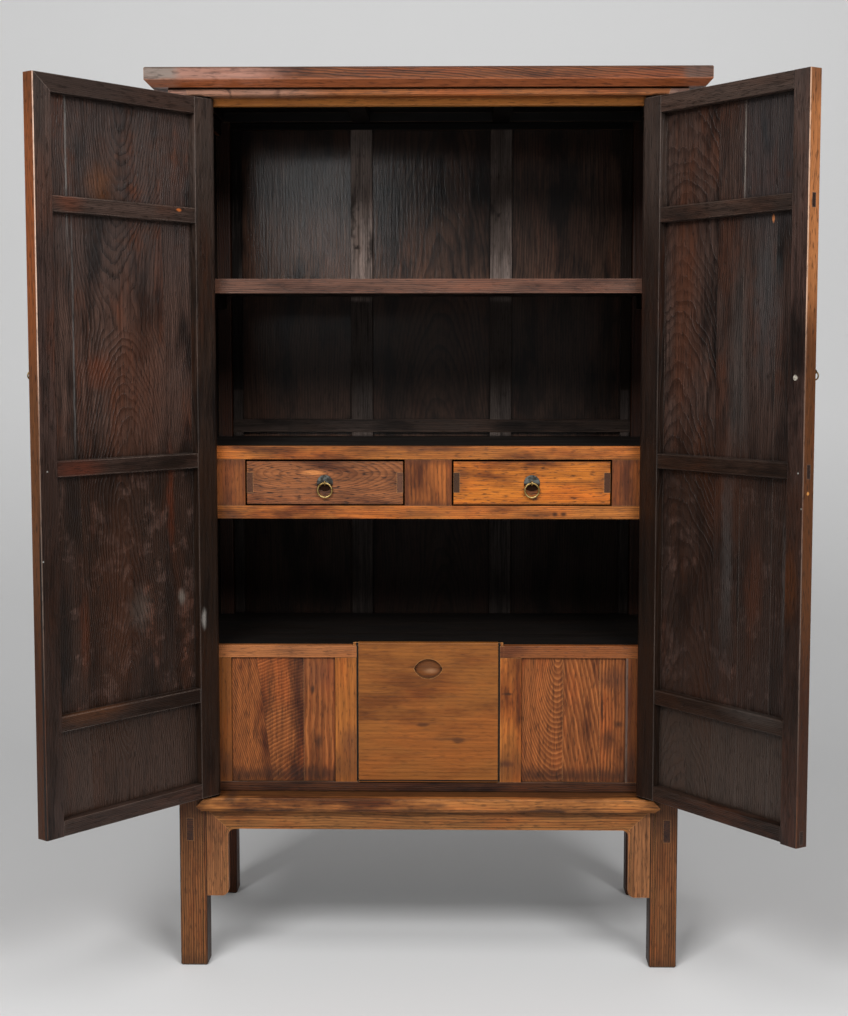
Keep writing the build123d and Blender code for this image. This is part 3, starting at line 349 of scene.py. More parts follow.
tenonEnds = tuple(("box", (x, -0.27, 0.292), (0.0081, 0.0006, 0.0246), 0.05, 0.0, "30231F", 0.92)
                  for x in (-0.4975, 0.4975))
posts = {"early": "80502C", "late": "351D10", "ringWidth": 0.0050, "ringAmount": 0.95, "board": 3.0,
         "sway": 0.016, "innerEarly": "3A2518", "innerLate": "23160F", "stainAmount": 0.5, "ripple": 1.2,
         "marks": (("box", (0.0, -0.27, 0.335), (far, 0.02, 0.05), 0.6, 0.05, "3A2418", 0.5),
                   ("box", (0.0, 0.0, 0.0), (far, far, 0.02), 0.6, 0.03, "3A261A", 0.5))}
dressWood("postElmLeft", {**posts, "early": "724726", "late": "2F190E", "piths": ((-0.70, 0.30, 0.01),)},
          "front_left_post")
dressWood("postElmRight", {**posts, "piths": ((0.66, 0.29, 0.02),), "board": 4.0}, "front_right_post")
rearPosts = {**posts, "innerEarly": "4B240B", "innerLate": "2E1605", "board": 5.0, "innerMarks": True,
             # inside the cabinet the rear posts' inner faces darken: painted shade
             "marks": (("box", (0.0, 0.0, 1.3), (far, far, 0.9), 0.05, 0.0, "1C1613", 0.6),)}
dressWood("rearPostElm", rearPosts, "rear_left_post", "rear_right_post")

# near black under the top, inside the cabinet: painted shade
topInsideShade = ("box", (0.0, 0.0, 1.80), (0.50, 0.262, 0.040), 0.01, 0.0, "0E0A08", 1.7)
topFrame = {"order": "yzx", "early": "633517", "late": "2C1407", "ringWidth": 0.0045, "board": 6.0,
            "worn": "A8805F", "stainAmount": 0.8, "marks": (topInsideShade,)}
fasciaWearAndLight = faceMarks(
    -0.3,
    ("box", -0.44, 1.838, 0.13, 0.02, 0.5, 0.05, "A27666", 0.8),
    ("box", -0.545, 1.838, 0.045, 0.03, 0.3, 0.025, "7A6C63", 1.1),
    ("box", 0.55, 1.838, 0.04, 0.03, 0.3, 0.02, "4E3E36", 0.8),
    ("box", 0.0, 1.8492, far, 0.0022, 0.6, 0.003, "2A1710", 0.7),
    # a paler band on the chamfer, which faces down: painted light
    ("box", 0.0, 1.818, far, 0.0085, 0.3, 0.004, "96502A", 0.75),
)
fascia = {**topFrame, "piths": ((-0.34, -1.79, 0.10),), "sway": 0.03, "ripple": 1.8, "ringAmount": 0.95,
          "marks": (*fasciaWearAndLight, topInsideShade)}
dressWood("topEdgeElm", fascia, "top_front_rail", "top_rear_rail")
dressWood("topEndElm", {**topFrame, "order": "xzy", "board": 8.0}, "top_end_rails")
dressWood("topBoardElm", {**topFrame, "board": 11.0, "cuts": (-0.08, 0.07),
                          "piths": ((-0.15, -1.8, 0.03), (0.0, -1.81, -0.025), (0.15, -1.79, 0.04))},
          "top_boards")
# the battens under the top are near black: painted shade
dressWood("topBattenElm", {**topFrame, "order": "xzy", "early": "1C1512", "late": "120D0B"}, "top_battens")

headRail = {"order": "zyx", "early": "94572A", "late": "552D15", "board": 14.0, "worn": "C0906A",
            "ringWidth": 0.0035, "innerEarly": "2A1D15", "innerLate": "1A120D",
            "marks": (("box", (-0.44, -0.29, 1.8), (0.2, 0.03, 0.05), 0.4, 0.05, "93705F", 0.8),
                      ("box", (-0.3, -0.29, 1.8), (0.004, 0.03, 0.05), 0.9, 0.012, "4A2A1C", 0.7),
                      *(("box", (x, -0.29, 1.8), (0.0016, 0.03, 0.05), 0.9, 0.03, "2E1C16", 0.9)
                        for x in (-0.4, -0.487)),
                      ("box", (0.0, -0.24, 1.79), (far, 0.0165, 0.04), 0.05, 0.0, "D08540", 0.9))}
dressWood("headRailElm", headRail, "head_rail")
dressWood("headReturnElm", {**headRail, "early": "8C6A5C", "late": "4E362C", "marks": ()}, "head_returns")
baseRail = {"order": "zyx", "early": "9A6130", "late": "522F17", "board": 17.0, "ringWidth": 0.0042,
            "stainAmount": 0.9,
            "marks": (("box", (0.0, -0.24, 0.366), (far, 0.032, 0.006), 0.1, 0.0, "492910", 1.0),
                      *faceMarks(-0.27, ("round", -0.41, 0.36, 0.012, 0.006, 0.6, 0.01, "3A2418", 0.8),
                                 ("round", 0.02, 0.352, 0.02, 0.005, 0.6, 0.012, "4A2C1C", 0.6)))}
dressWood("baseRailElm", baseRail, "base_rail")
dressWood("apronElm", {**baseRail, "board": 19.0, "early": "83542A", "late": "3F2413", "stainAmount": 0.4,
                       "marks": ()}, "apron")
dressWood("spandrelElm", {**baseRail, "order": "xyz", "board": 21.0, "early": "8C5B37", "late": "52321C",
                          "stainAmount": 0.3, "marks": ()}, "spandrels")

doorColours = {"early": "86522F", "late": "4A2815", "worn": "9A8A80", "wornAmount": 0.4, "wornWidth": 0.0022,
               "stain": "504640", "stainAmount": 0.9, "blushAmount": 0.8, "blush": (1.36, 0.86, 0.6),
               "porous": 0.6, "shine": 0.24, "roughness": (0.33, 0.5), "relief": 0.0006, "fibre": 0.5,
               "seam": "100B09", "seamAmount": 0.8}
# Each free edge is paler high up and darker low down: painted light and shade. The pale arris lines are wear,
# painted brighter high up.
leftEdgeLightAndWear = edgeMarks((-0.275, 1.52, 0.02, 0.30, 0.3, "7E4626", 0.95),
                     (-0.275, 1.78, 0.02, 0.06, 0.7, "64391F", 0.8),
                     (-0.275, 1.0, 0.02, 0.30, 0.4, "5E3A22", 0.95),
                     (-0.275, 0.50, 0.02, 0.30, 0.5, "3C1E0A", 1.2),
                     (-0.2585, 0.62, 0.0028, 0.34, 0.3, "0E0806", 1.1),
                     (-0.2560, 1.53, 0.0012, 0.31, 0.3, "CBAA96", 1.2),
                     (-0.2558, 0.96, 0.0012, 0.24, 0.5, "7C726A", 0.5))
rightEdgeLightAndWear = (*edgeMarks((-0.275, 1.56, 0.02, 0.24, 0.3, "A96C40", 0.95),
                        (-0.275, 1.79, 0.02, 0.05, 0.6, "6E462E", 0.8),
                        (-0.275, 1.0, 0.02, 0.36, 0.3, "58341C", 1.1),
                        (-0.275, 0.44, 0.02, 0.28, 0.5, "381C0C", 1.3)),
             ("round", (0.0, -0.268, 1.027), (0.01, 0.003, 0.003), 0.4, 0.0, "C88848", 1.2),
             *edgeMarks((-0.2560, 1.57, 0.0012, 0.25, 0.3, "C49E84", 1.1),
                        (-0.2558, 0.94, 0.0012, 0.36, 0.5, "6C625B", 0.5)),
             ("round", (0.03, -0.255, 0.85), (0.018, far, 0.06), 0.6, 0.02, "46240C", 0.75))
battenChips = faceMarks(
    -0.255,
    ("round", -0.357, 1.566, 0.006, 0.003, 0.5, 0.003, "B8642E", 1.1),
    ("round", -0.08, 1.57, 0.03, 0.02, 0.8, 0.02, "5E3220", 0.6),
    ("round", -0.09, 1.066, 0.05, 0.02, 0.8, 0.02, "54281A", 0.7),
    ("round", -0.12, 0.60, 0.07, 0.02, 0.8, 0.02, "56341F", 0.7),
    ("box", -0.25, 1.78, far, 0.05, 0.5, 0.0, "241A16", 0.6),
)
rightTenons = (*(("box", (0.0005, -0.269, z), (0.0012, 0.0047, 0.013), 0.05, 0.0, "2E201A", 1.4)
                 for z in (0.384, 1.067, 1.558)),
               ("round", (0.12, -0.255, 0.60), (0.07, far, 0.02), 0.8, 0.02, "3C3632", 0.7))
# the doors' inner faces darken low down and turn grey high up: painted shade below, painted sheen above
doorShadeAndSheen = (("box", (0.0, -0.26, 0.75), (far, 0.02, 0.33), 0.3, 0.08, "1C1008", 0.6),
              ("box", (0.0, -0.26, 1.75), (far, 0.02, 0.18), 0.7, 0.06, "5A4C45", 0.35))
scuffed = ("round", (-0.412, -0.255, 0.742), (0.006, far, 0.018), 0.6, 0.006, "8C8781", 0.9)
doorFrames = {
    "left": {"sign": -1.0, "board": 24.0, "hinge": "2E211A", "free": "3C2D28", "rails": "3D2E28",
             "edge": leftEdgeLightAndWear, "chips": battenChips, "railWear": 0.4},
    "right": {"sign": 1.0, "board": 30.0, "hinge": "231711", "free": "42302A", "rails": "34261F",
              "edge": rightEdgeLightAndWear, "chips": rightTenons, "railWear": 0.15},
}
for side, look in doorFrames.items():
    sign, number = look["sign"], look["board"]
    stile = {**doorColours, "door": side, "board": number, "ringWidth": 0.0034, "innerLate": "1D1410"}
    dressWood(side + "HingeStileElm",
              {**stile, "innerEarly": look["hinge"], "innerLate": "17100C",
               "piths": ((sign * 0.7, 0.33, 0.02),), "marks": (*doorShadeAndSheen, scuffed)},
              f"{side}_door_hinge_stile")
    dressWood(side + "FreeStileElm",
              {**stile, "board": number + 1, "innerEarly": look["free"], "wornAmount": 0.2,
               "piths": ((sign * 0.30, 0.33, 0.02),), "marks": (*doorShadeAndSheen, *look["edge"])},
              f"{side}_door_free_stile")
    dressWood(side + "DoorRailElm",
              {**stile, "order": "zyx", "innerEarly": look["rails"], "board": number + 2,
               "wornAmount": look["railWear"], "piths": ((2.6, 0.32, 0.02),),
               "marks": (*doorShadeAndSheen, *look["chips"])},
              f"{side}_door_rails")
leftPatches = faceMarks(
    -0.26,
    ("round", -0.26, 1.22, 0.06, 0.14, 0.7, 0.06, "55301F", 0.35),
    ("round", -0.17, 1.60, 0.03, 0.04, 0.8, 0.04, "6A4024", 0.5),
    ("round", -0.16, 1.25, 0.03, 0.03, 0.8, 0.04, "5E2E18", 0.55),
    ("round", -0.34, 1.0, 0.008, 0.09, 0.7, 0.02, "582610", 0.55),
    ("round", -0.20, 0.80, 0.05, 0.16, 0.7, 0.06, "4E2C1B", 0.35),
    ("round", -0.115, 0.75, 0.011, 0.06, 0.8, 0.02, "46200C", 0.7),
    ("round", -0.062, 0.73, 0.016, 0.10, 0.7, 0.02, "0E0906", 0.7),
    ("round", -0.258, 0.778, 0.026, 0.034, 0.8, 0.03, "544B44", 0.4),
    ("round", -0.367, 0.791, 0.007, 0.013, 0.8, 0.008, "6E665E", 0.7),
    ("box", -0.088, 1.66, 0.0018, 0.12, 0.7, 0.003, "7C7874", 0.8),
    ("box", -0.099, 1.34, 0.0018, 0.20, 0.7, 0.004, "5C5A58", 0.8),
    ("box", -0.13, 1.2, 0.0022, 0.40, 0.9, 0.006, "150E0B", 0.6),
)
rightPatches = faceMarks(
    -0.26,
    ("round", 0.34, 1.40, 0.035, 0.25, 0.8, 0.05, "4E2D1E", 0.4),
    ("round", 0.22, 1.02, 0.05, 0.08, 0.8, 0.05, "4E2C1C", 0.35),
    ("round", 0.12, 1.40, 0.03, 0.14, 0.8, 0.04, "3C4345", 0.45),
    ("box", 0.181, 1.66, 0.0016, 0.08, 0.6, 0.002, "8C837B", 0.9),
    ("round", 0.105, 1.532, 0.003, 0.007, 0.5, 0.004, "C07A4C", 1.1),
    ("box", 0.215, 0.90, 0.013, 0.15, 0.7, 0.03, "3C3937", 0.6),
    ("box", 0.183, 0.83, 0.0025, 0.07, 0.6, 0.003, "0C0806", 0.9),
    ("round", 0.14, 0.84, 0.02, 0.07, 0.8, 0.03, "4A2614", 0.5),
    ("box", 0.06, 0.85, 0.006, 0.10, 0.7, 0.01, "46413E", 0.5),
    ("box", 0.19, 1.28, 0.020, 0.14, 0.8, 0.03, "46413E", 0.45),
)
doorPanel = {**doorColours, "front": -0.279, "relief": 0.0008, "ringAmount": 0.66, "ripple": 2.2,
             "ringWidth": 0.0050, "wornAmount": 0.2, "blushAmount": 0.7, "shine": 0.3}
leftPanel = {**doorPanel, "door": "left", "board": 27.0, "innerEarly": "4C3830", "innerLate": "17100D",
             "sway": 0.13, "waist": 1.33,  # the height at which the ring figure turns over
             "cuts": ((-0.37, 0.0302), (-0.142, 0.032)), "seamAmount": 0.0,  # its joints are among the marks
             "piths": ((-0.62, 0.33, 0.03), (-0.22, 0.37, -0.14), (0.16, 0.33, -0.02)),
             # the first two marks darken the lower panels and grey the upper ones: painted shade and painted
             # sheen
             "marks": (("box", (0.0, -0.26, 0.80), (far, 0.02, 0.30), 0.3, 0.08, "1A0C03", 0.74),
                       ("box", (0.0, -0.26, 1.64), (far, 0.02, 0.20), 0.6, 0.08, "3C3837", 0.5),
                       ("box", (0.0, -0.26, 0.47), (far, 0.02, 0.11), 0.2, 0.02, "36271F", 0.8),
                       *leftPatches)}
dressWood("leftPanelElm", leftPanel, "left_door_panels")
rightPanel = {**doorPanel, "door": "right", "board": 34.0, "innerEarly": "3C2D27", "innerLate": "130D0B",
              "sway": 0.10, "cuts": (0.095, 0.181, 0.252),
              "piths": ((-0.12, 0.33, 0.03), (-0.10, 0.34, -0.05), (-0.06, 0.33, 0.04), (0.332, 0.33, 0.16)),
              # the first two marks darken the lower panels and grey the upper ones: painted shade and painted
              # sheen
              "marks": (("box", (0.0, -0.26, 0.80), (far, 0.02, 0.30), 0.3, 0.08, "1C0E06", 0.66),
                        ("box", (0.11, -0.26, 1.66), (0.075, 0.02, 0.14), 0.3, 0.03, "33373A", 0.42),
                        ("box", (0.0, -0.26, 0.47), (far, 0.02, 0.11), 0.2, 0.02, "3A2F28", 0.8),
                        *rightPatches)}
dressWood("rightPanelElm", rightPanel, "right_door_panels")

# near-black wood for the decks, cleats, runners and bearer deep in the cabinet: painted shade
paintedShadeWork = {"early": "17120F", "late": "0D0A08", "worn": "3A322D", "dirtAndShade": "060504", "board": 40.0,
            "shine": 0.3, "blushAmount": 0.3}
# near black for the sides' inner faces: painted shade inside the cabinet
paintedShadeInside = {"innerEarly": "1E1612", "innerLate": "120D0A"}
sides = {"early": "8A5029", "late": "452612", **paintedShadeInside, "order": "yxz", "board": 42.0,
         "piths": ((0.4, 0.55, 0.02),)}
dressWood("leftSideElm", sides, "left_side_panels")
dressWood("rightSideElm", {**sides, "board": 45.0}, "right_side_panels")
dressWood("sideRailElm", {**sides, "order": "zxy", "piths": ((2.4, 0.55, 0.02),), "board": 44.0,
                          "marks": tenonEnds}, "side_rails")
# near black over the back's lower part, darker low in the upper compartment and under the top: painted shade
# inside the cabinet
backPaintedShade = (("box", (0.0, 0.24, 0.7), (far, 0.05, 0.39), 0.02, 0.0, "0A0807", 0.85),
            ("box", (0.0, 0.24, 1.265), (far, 0.05, 0.16), 0.05, 0.0, "120D0B", 0.48),
            ("box", (0.0, 0.24, 1.80), (far, 0.05, 0.06), 0.6, 0.03, "0A0807", 0.6))
backWork = {"early": "5A3A20", "late": "2E1B10", "ringAmount": 0.85, "innerMarks": True,
            "innerEarly": "4F372A", "innerLate": "281A14", "board": 46.0, "roughness": (0.45, 0.6),
            "shine": 0.12, "marks": backPaintedShade, "worn": "5E5048", "stain": "50443C", "stainAmount": 0.85,
            "blushAmount": 0.5, "fibre": 0.6}
# near black along the rear top rail under the top: painted shade
railTopShade = ("box", (0.0, 0.24, 1.805), (far, 0.05, 0.012), 0.05, 0.0, "0A0807", 1.6)
dressWood("backRailElm", {**backWork, "order": "zyx", "piths": ((2.6, -0.3, 0.02),),
                          "innerEarly": "4A3D36", "marks": (*backPaintedShade, railTopShade)}, "rear_rails")
chips = tuple(("box", (x, 0.21, z), (0.006, 0.05, high), 0.8, 0.03, "070504", 0.95)
              for x, z, high in ((-0.184, 1.61, 0.028), (-0.186, 1.56, 0.010), (-0.17, 1.53, 0.004),
                                 (-0.139, 1.53, 0.03), (0.140, 1.62, 0.012), (0.155, 1.60, 0.006)))
# the mullions darker low down, beside the rear posts and at x 0.16: painted shade
mullionPaintedShade = (("box", (0.0, 0.24, 0.9), (far, 0.05, 0.505), 0.01, 0.0, "1A1411", 0.85),
                 ("box", (-0.46, 0.24, 1.6), (0.03, 0.05, 0.4), 0.01, 0.0, "17110E", 1.2),
                 ("box", (0.46, 0.24, 1.6), (0.03, 0.05, 0.4), 0.01, 0.0, "20140D", 1.2),
                 ("box", (0.1615, 0.24, 1.6), (0.03, 0.05, 0.4), 0.05, 0.0, "3A302B", 0.5))
dressWood("mullionElm", {**backWork, "cuts": (-0.3, 0.0, 0.3), "innerEarly": "A8978F",
                         "innerLate": "655245", "marks": (*backPaintedShade, *chips, *mullionPaintedShade),
                         "stainAmount": 0.6, "blushAmount": 0.2,
                         "piths": ((-0.65, -0.3, 0.02), (-0.46, -0.3, 0.03), (0.46, -0.29, -0.02),
                                   (0.65, -0.3, 0.02))}, "back_mullions")
dressWood("backPanelElm", {**backWork, "board": 50.0, "cuts": (-0.16, 0.16), "ringWidth": 0.006,
                           "ringAmount": 0.8, "lacquer": 0.55, "lacquerRoughness": 0.16,
                           "lacquerFoot": 1.1, "sway": 0.06,
                           "piths": ((-0.9, -0.29, 0.03), (0.02, -0.26, 0.10), (0.9, -0.29, 0.03))},
          "back_panels")

# the shelf turns near black behind its front edge: painted shade inside the cabinet
shelf = {"order": "zyx", "early": "5A3B2D", "late": "2F1D15", "board": 54.0, "piths": ((2.2, 0.25, 0.01),),
         "worn": "9A7868", "marks": (("box", (0.0, 0.05, 1.42), (far, 0.25, 0.05), 0.02, 0.0, "120D0B", 0.92),)}
dressWood("shelfElm", shelf, "shelf_boards")
levels = {**paintedShadeWork, "order": "yzx", "board": 56.0, "cuts": (-0.07, 0.08),
          "piths": ((-0.15, -0.6, 0.02), (0.0, -0.6, 0.03), (0.15, -0.6, 0.02))}
dressWood("deckElm", levels, "drawer_deck", "store_deck", "floor_boards")
dressWood("cleatElm", {**paintedShadeWork, "order": "xzy", "board": 60.0}, "shelf_cleats", "drawer_runners")
dressWood("bearerElm", {**paintedShadeWork, "order": "zyx", "board": 61.0}, "drawer_bearer")

bank = {"order": "zyx", "early": "AD672B", "late": "663817", "board": 63.0, "piths": ((2.0, 0.28, 0.02),),
        "stainAmount": 0.9, "ringWidth": 0.0042, "ringAmount": 0.6}
railStains = faceMarks(
    -0.23,
    ("round", -0.41, 0.945, 0.02, 0.012, 0.7, 0.01, "4A2A16", 0.7),
    ("round", 0.23, 0.950, 0.035, 0.006, 0.7, 0.012, "2E1A10", 0.7),
    ("round", 0.28, 0.952, 0.006, 0.004, 0.7, 0.006, "1E120C", 0.9),
    ("round", 0.262, 0.951, 0.005, 0.004, 0.7, 0.006, "1E120C", 0.9),
    ("round", -0.02, 0.950, 0.04, 0.008, 0.8, 0.012, "5A2E18", 0.5),
    ("round", 0.03, 1.085, 0.12, 0.004, 0.8, 0.012, "55301C", 0.5),
)
dressWood("bankRailElm", {**bank, "marks": railStains}, "bank_top_rail", "bank_bottom_rail")
# darker around the drawer openings, along the rails and at the end stiles: painted shade
bankEdgeShade = faceMarks(
    -0.22,
    *(("box", x, 1.0175, 0.009, 0.06, 0.9, 0.01, "4A2412", 0.85) for x in (-0.380, -0.049, 0.049, 0.380)),
    ("box", 0.0, 1.066, far, 0.010, 0.9, 0.008, "4E2A17", 0.75),
    ("box", 0.0, 0.967, far, 0.008, 0.9, 0.008, "4E2A17", 0.7),
    ("box", -0.42, 1.0175, 0.035, 0.06, 0.4, 0.03, "56301A", 0.6),
    ("box", 0.42, 1.0175, 0.035, 0.06, 0.4, 0.03, "5A3018", 0.45),
)
dressWood("bankStileElm", {**bank, "order": "xyz", "board": 65.0, "cuts": (-0.2, 0.2), "marks": bankEdgeShade,
                           "early": "9C5826", "late": "542B14", "ringWidth": 0.008,
                           "piths": ((-0.9, 0.27, 0.05), (0.6, 0.27, 0.05), (0.9, 0.27, 0.05))},
          "bank_stiles")
drawerEnds = tuple(("box", (x, -0.23, 1.0167), (0.0068, 0.004, 0.0212), 0.06, 0.0, tint, 1.6)
                   for x, tint in ((-0.3703, "4E3020"), (-0.0587, "5A3A2A"),
                                   (0.0587, "3E2819"), (0.3703, "44291A")))
drawerShadeAndWear = faceMarks(
    -0.23,
    # dark lines along the top and bottom of the fronts: painted shade at the openings' rims
    *(("box", 0.0, z, far, 0.003, 0.9, 0.004, "4A2815", 0.6) for z in (1.0605, 0.9715)),
    # a dark round behind each pull ring: painted shadow of the ring and plate
    *(("round", x, 1.003, 0.013, 0.013, 0.35, 0.003, "33201A", 0.8) for x in (-0.2145, 0.2145)),
    *(("round", x, 1.018, 0.014, 0.026, 0.9, 0.012, "4E2E1C", 0.55) for x in (-0.360, -0.068, 0.066, 0.362)),
)
leftKnot = faceMarks(-0.23, ("round", -0.239, 1.037, 0.022, 0.0045, 0.5, 0.004, "C98046", 0.8))
rightKnot = faceMarks(-0.23, ("round", 0.222, 0.985, 0.006, 0.004, 0.7, 0.004, "241610", 0.8))
dressWood("leftDrawerElm", {**bank, "board": 70.0, "early": "824E2C", "late": "4A2815", "ringAmount": 0.65,
                            "piths": ((1.037, 0.286, 0.22, 0.0036),), "ripple": 1.5, "sway": 0.012,
                            "porous": 0.9, "marks": (*leftKnot, *drawerShadeAndWear)}, "left_drawer_front")
dressWood("rightDrawerElm", {**bank, "board": 71.0, "early": "BE6D21", "late": "814316",
                             "ringWidth": 0.0045, "ringAmount": 0.5, "porous": 0.8,
                             "marks": (*rightKnot, *drawerShadeAndWear)}, "right_drawer_front")
# Pale poplar that was never lacquered: dusty and dull, with dark lines where the dovetails close
drawerInside = {"order": "xzy", "early": "8A6844", "late": "5F452C", "board": 73.0, "roughness": (0.6, 0.8),
                "marks": drawerEnds}
dressWood("drawerBoxPoplar", drawerInside, "left_drawer_box", "right_drawer_box", "left_drawer_bottom",
          "right_drawer_bottom")

store = {"order": "zyx", "early": "9A5A2C", "late": "5A2F16", "board": 76.0, "piths": ((1.6, 0.28, 0.02),),
         "stainAmount": 0.9}
storeRail = faceMarks(-0.23, *(("box", x, 0.66, 0.16, 0.03, 0.5, 0.03, tint, amount)
                               for x, tint, amount in ((-0.30, "A96C40", 0.55), (0.30, "67391D", 0.6))))
dressWood("storeRailElm", {**store, "marks": storeRail}, "store_rails")
dressWood("storeSillElm", {**store, "early": "482816", "late": "201109", "board": 78.0, "ringAmount": 0.9},
          "store_sill")
storeShades = faceMarks(
    -0.23,
    # the end stiles darker: painted shade of the doors and posts
    *(("box", x, 0.5, 0.0265, 0.3, 0.05, 0.0, tint, amount)
      for x, tint, amount in ((-0.438, "5A3014", 0.6), (0.438, "4A2413", 0.8))),
    ("box", 0.414, 0.5, 0.0035, 0.3, 0.4, 0.002, "625750", 0.75),
    ("box", 0.0, 0.415, far, 0.03, 0.9, 0.02, "3A2418", 0.6),
    ("round", -0.163, 0.47, 0.02, 0.03, 0.8, 0.02, "3E241C", 0.6),
    ("round", 0.165, 0.573, 0.010, 0.003, 0.7, 0.005, "1C110C", 0.9),
    ("round", 0.165, 0.425, 0.012, 0.006, 0.8, 0.008, "3A2018", 0.8),
)
dressWood("storeStileElm", {**store, "order": "xyz", "early": "9C5C25", "late": "603215", "board": 79.0,
                            "cuts": (-0.3, 0.0, 0.3), "marks": storeShades, "ringWidth": 0.011,
                            "ringAmount": 0.45,
                            "piths": ((-0.8, 0.26, 0.03), (-0.6, 0.26, 0.03), (0.6, 0.26, 0.03),
                                      (0.8, 0.26, 0.03))}, "store_stiles")
panelShades = faceMarks(
    -0.23,
    ("box", 0.0, 0.398, far, 0.014, 0.9, 0.02, "2A1A14", 0.75),
    ("round", -0.243, 0.581, 0.004, 0.008, 0.7, 0.004, "1C110C", 0.9),
    ("round", -0.229, 0.47, 0.006, 0.014, 0.8, 0.008, "2A1810", 0.8),
    ("box", -0.228, 0.615, 0.034, 0.03, 0.9, 0.02, "4E2E22", 0.5),
    ("round", 0.364, 0.545, 0.003, 0.03, 0.7, 0.006, "1C110C", 0.85),
    ("round", 0.376, 0.475, 0.012, 0.020, 0.8, 0.016, "2A1A10", 0.75),
    ("round", 0.398, 0.508, 0.008, 0.006, 0.8, 0.008, "1C110C", 0.8),
    ("round", 0.388, 0.605, 0.03, 0.02, 0.9, 0.02, "3E241A", 0.6),
)
storePanels = {**store, "order": "xyz", "early": "6F3B19", "late": "A66332", "board": 82.0, "ripple": 1.2,
               "sway": 0.03, "ringAmount": 0.75, "marks": panelShades, "toneSpread": 0.1, "seamAmount": 0.3,
               "cuts": ((-0.2784, -0.126), -0.2615, 0.0, 0.282, 0.359),
               "piths": ((-0.9, 0.635, 0.3, 0.0030), (0.2, -0.265, 2.0, 0.0117), (-0.9, 0.28, 0.02, 0.013),
                         (0.268, 0.4167, -0.28, 0.0034), (-0.24, 0.68, 0.21, 0.0066), (0.9, 0.27, 0.03, 0.007))}
dressWood("storePanelElm", storePanels, "store_panels")
hatchKnots = faceMarks(
    -0.234,
    ("round", -0.0105, 0.508, 0.012, 0.004, 0.5, 0.006, "2E1A10", 0.8),
    ("round", -0.035, 0.510, 0.04, 0.003, 0.8, 0.006, "5A3218", 0.5),
    ("round", 0.063, 0.475, 0.013, 0.006, 0.5, 0.008, "3A2012", 0.75),
    ("round", 0.04, 0.477, 0.04, 0.003, 0.8, 0.008, "52301A", 0.6),
)
# dark in the gaps beside the hatch and under its foot: painted shade
hatchGapShade = (*(("box", (x, -0.232, 0.5), (0.0024, 0.010, far), 0.1, 0.0, "0C0705", 1.7)
               for x in (-0.1487, 0.1487)),
             ("box", (0.0, -0.232, 0.3888), (0.16, 0.010, 0.0016), 0.1, 0.0, "0C0705", 1.2))
hatch = {"order": "zyx", "early": "854F1F", "late": "5E3413", "board": 88.0, "piths": ((2.0, 0.27, 0.03),),
         "ringAmount": 0.28, "ringWidth": 0.008, "stain": "A0866E", "stainAmount": 0.7, "worn": "C08E58",
         # strong worn edges: wear, which also paints a highlight on the finger recess's rim
         "wornAmount": 0.8, "porous": 0.25, "blushAmount": 0.3, "fibre": 0.2,
         "marks": (*hatchGapShade, *hatchKnots,
                   # the finger recess: darker inside as painted shade, with a pale painted highlight in its
                   # lower part
                   ("round", (-0.001, -0.234, 0.628), (0.024, 0.012, 0.014), 0.4, 0.002, "5E3C22", 0.7),
                   ("round", (0.006, -0.234, 0.621), (0.012, 0.012, 0.005), 0.9, 0.004, "B98C68", 0.6))}
dressWood("hatchElm", hatch, "hatch_board")
print("wood finished")


# Cast brass gone brown and grey: dull, mottled, brighter where fingers rub; wrought iron is greyer
def brassFinish(name, bright, dull, roughness, metal=1.0, shaded=None):
    material, tree = emptyMaterial(name)
    place = add(tree, "ShaderNodeTexCoord").outputs["Object"]
    spots = add(tree, "ShaderNodeTexNoise", None, {"Vector": place, "Scale": 120.0, "Detail": 3.0})
    patches = add(tree, "ShaderNodeMapRange", smooth,
                  {"Value": spots, "From Min": 0.4, "From Max": 0.62})
    colour = add(tree, "ShaderNodeMix", colours, {0: patches, 6: bright, 7: dull}).outputs[2]
    if shaded:  # from one height to the next it turns to a third colour
        # on the drawer plates this third colour is painted shadow
        height = add(tree, "ShaderNodeSeparateXYZ", None, {0: place}).outputs[2]
        darkenedPart = add(tree, "ShaderNodeMapRange", smooth,
                     {"Value": height, "From Min": shaded[0], "From Max": shaded[1]})
        colour = add(tree, "ShaderNodeMix", colours, {0: darkenedPart, 6: colour, 7: shaded[2]}).outputs[2]
    rough = add(tree, "ShaderNodeMapRange", None,
                {"Value": spots, "From Min": 0.3, "From Max": 0.7,
                 "To Min": roughness, "To Max": roughness + 0.25})
    bump = add(tree, "ShaderNodeBump", None, {"Height": spots, "Distance": 0.00008, "Strength": 0.4})
    shader = add(tree, "ShaderNodeBsdfPrincipled", None,
                 {"Base Color": colour, "Metallic": metal, "Roughness": rough, "Normal": bump})
    add(tree, "ShaderNodeOutputMaterial", None, {"Surface": shader})
    return material


# the drawer plates go dark below the ring's pin: painted shadow inside the ring
plateBrass = brassFinish("plateBrass", "6C6E6A", "3E3D39", 0.45, shaded=(1.0185, 1.0115, "2A1A12"))
clinchBrass = brassFinish("clinchBrass", "CFC7B8", "8F877A", 0.4, metal=0.3, shaded=(1.2425, 1.2445, "2B211B"))
nailIron = brassFinish("nailIron", "9C9A94", "6E6A64", 0.45, metal=0.3)
ringBrass = brassFinish("ringBrass", "B09560", "7A6236", 0.34)
for side in ("left", "right"):
    dress(plateBrass, f"{side}_drawer_pull_plate")
    dress(ringBrass, f"{side}_drawer_pull_ring", f"{side}_drawer_pull_pin", f"{side}_door_pull_ring")
dress(plateBrass, "left_door_pull_mount")
dress(clinchBrass, "right_door_pull_mount")


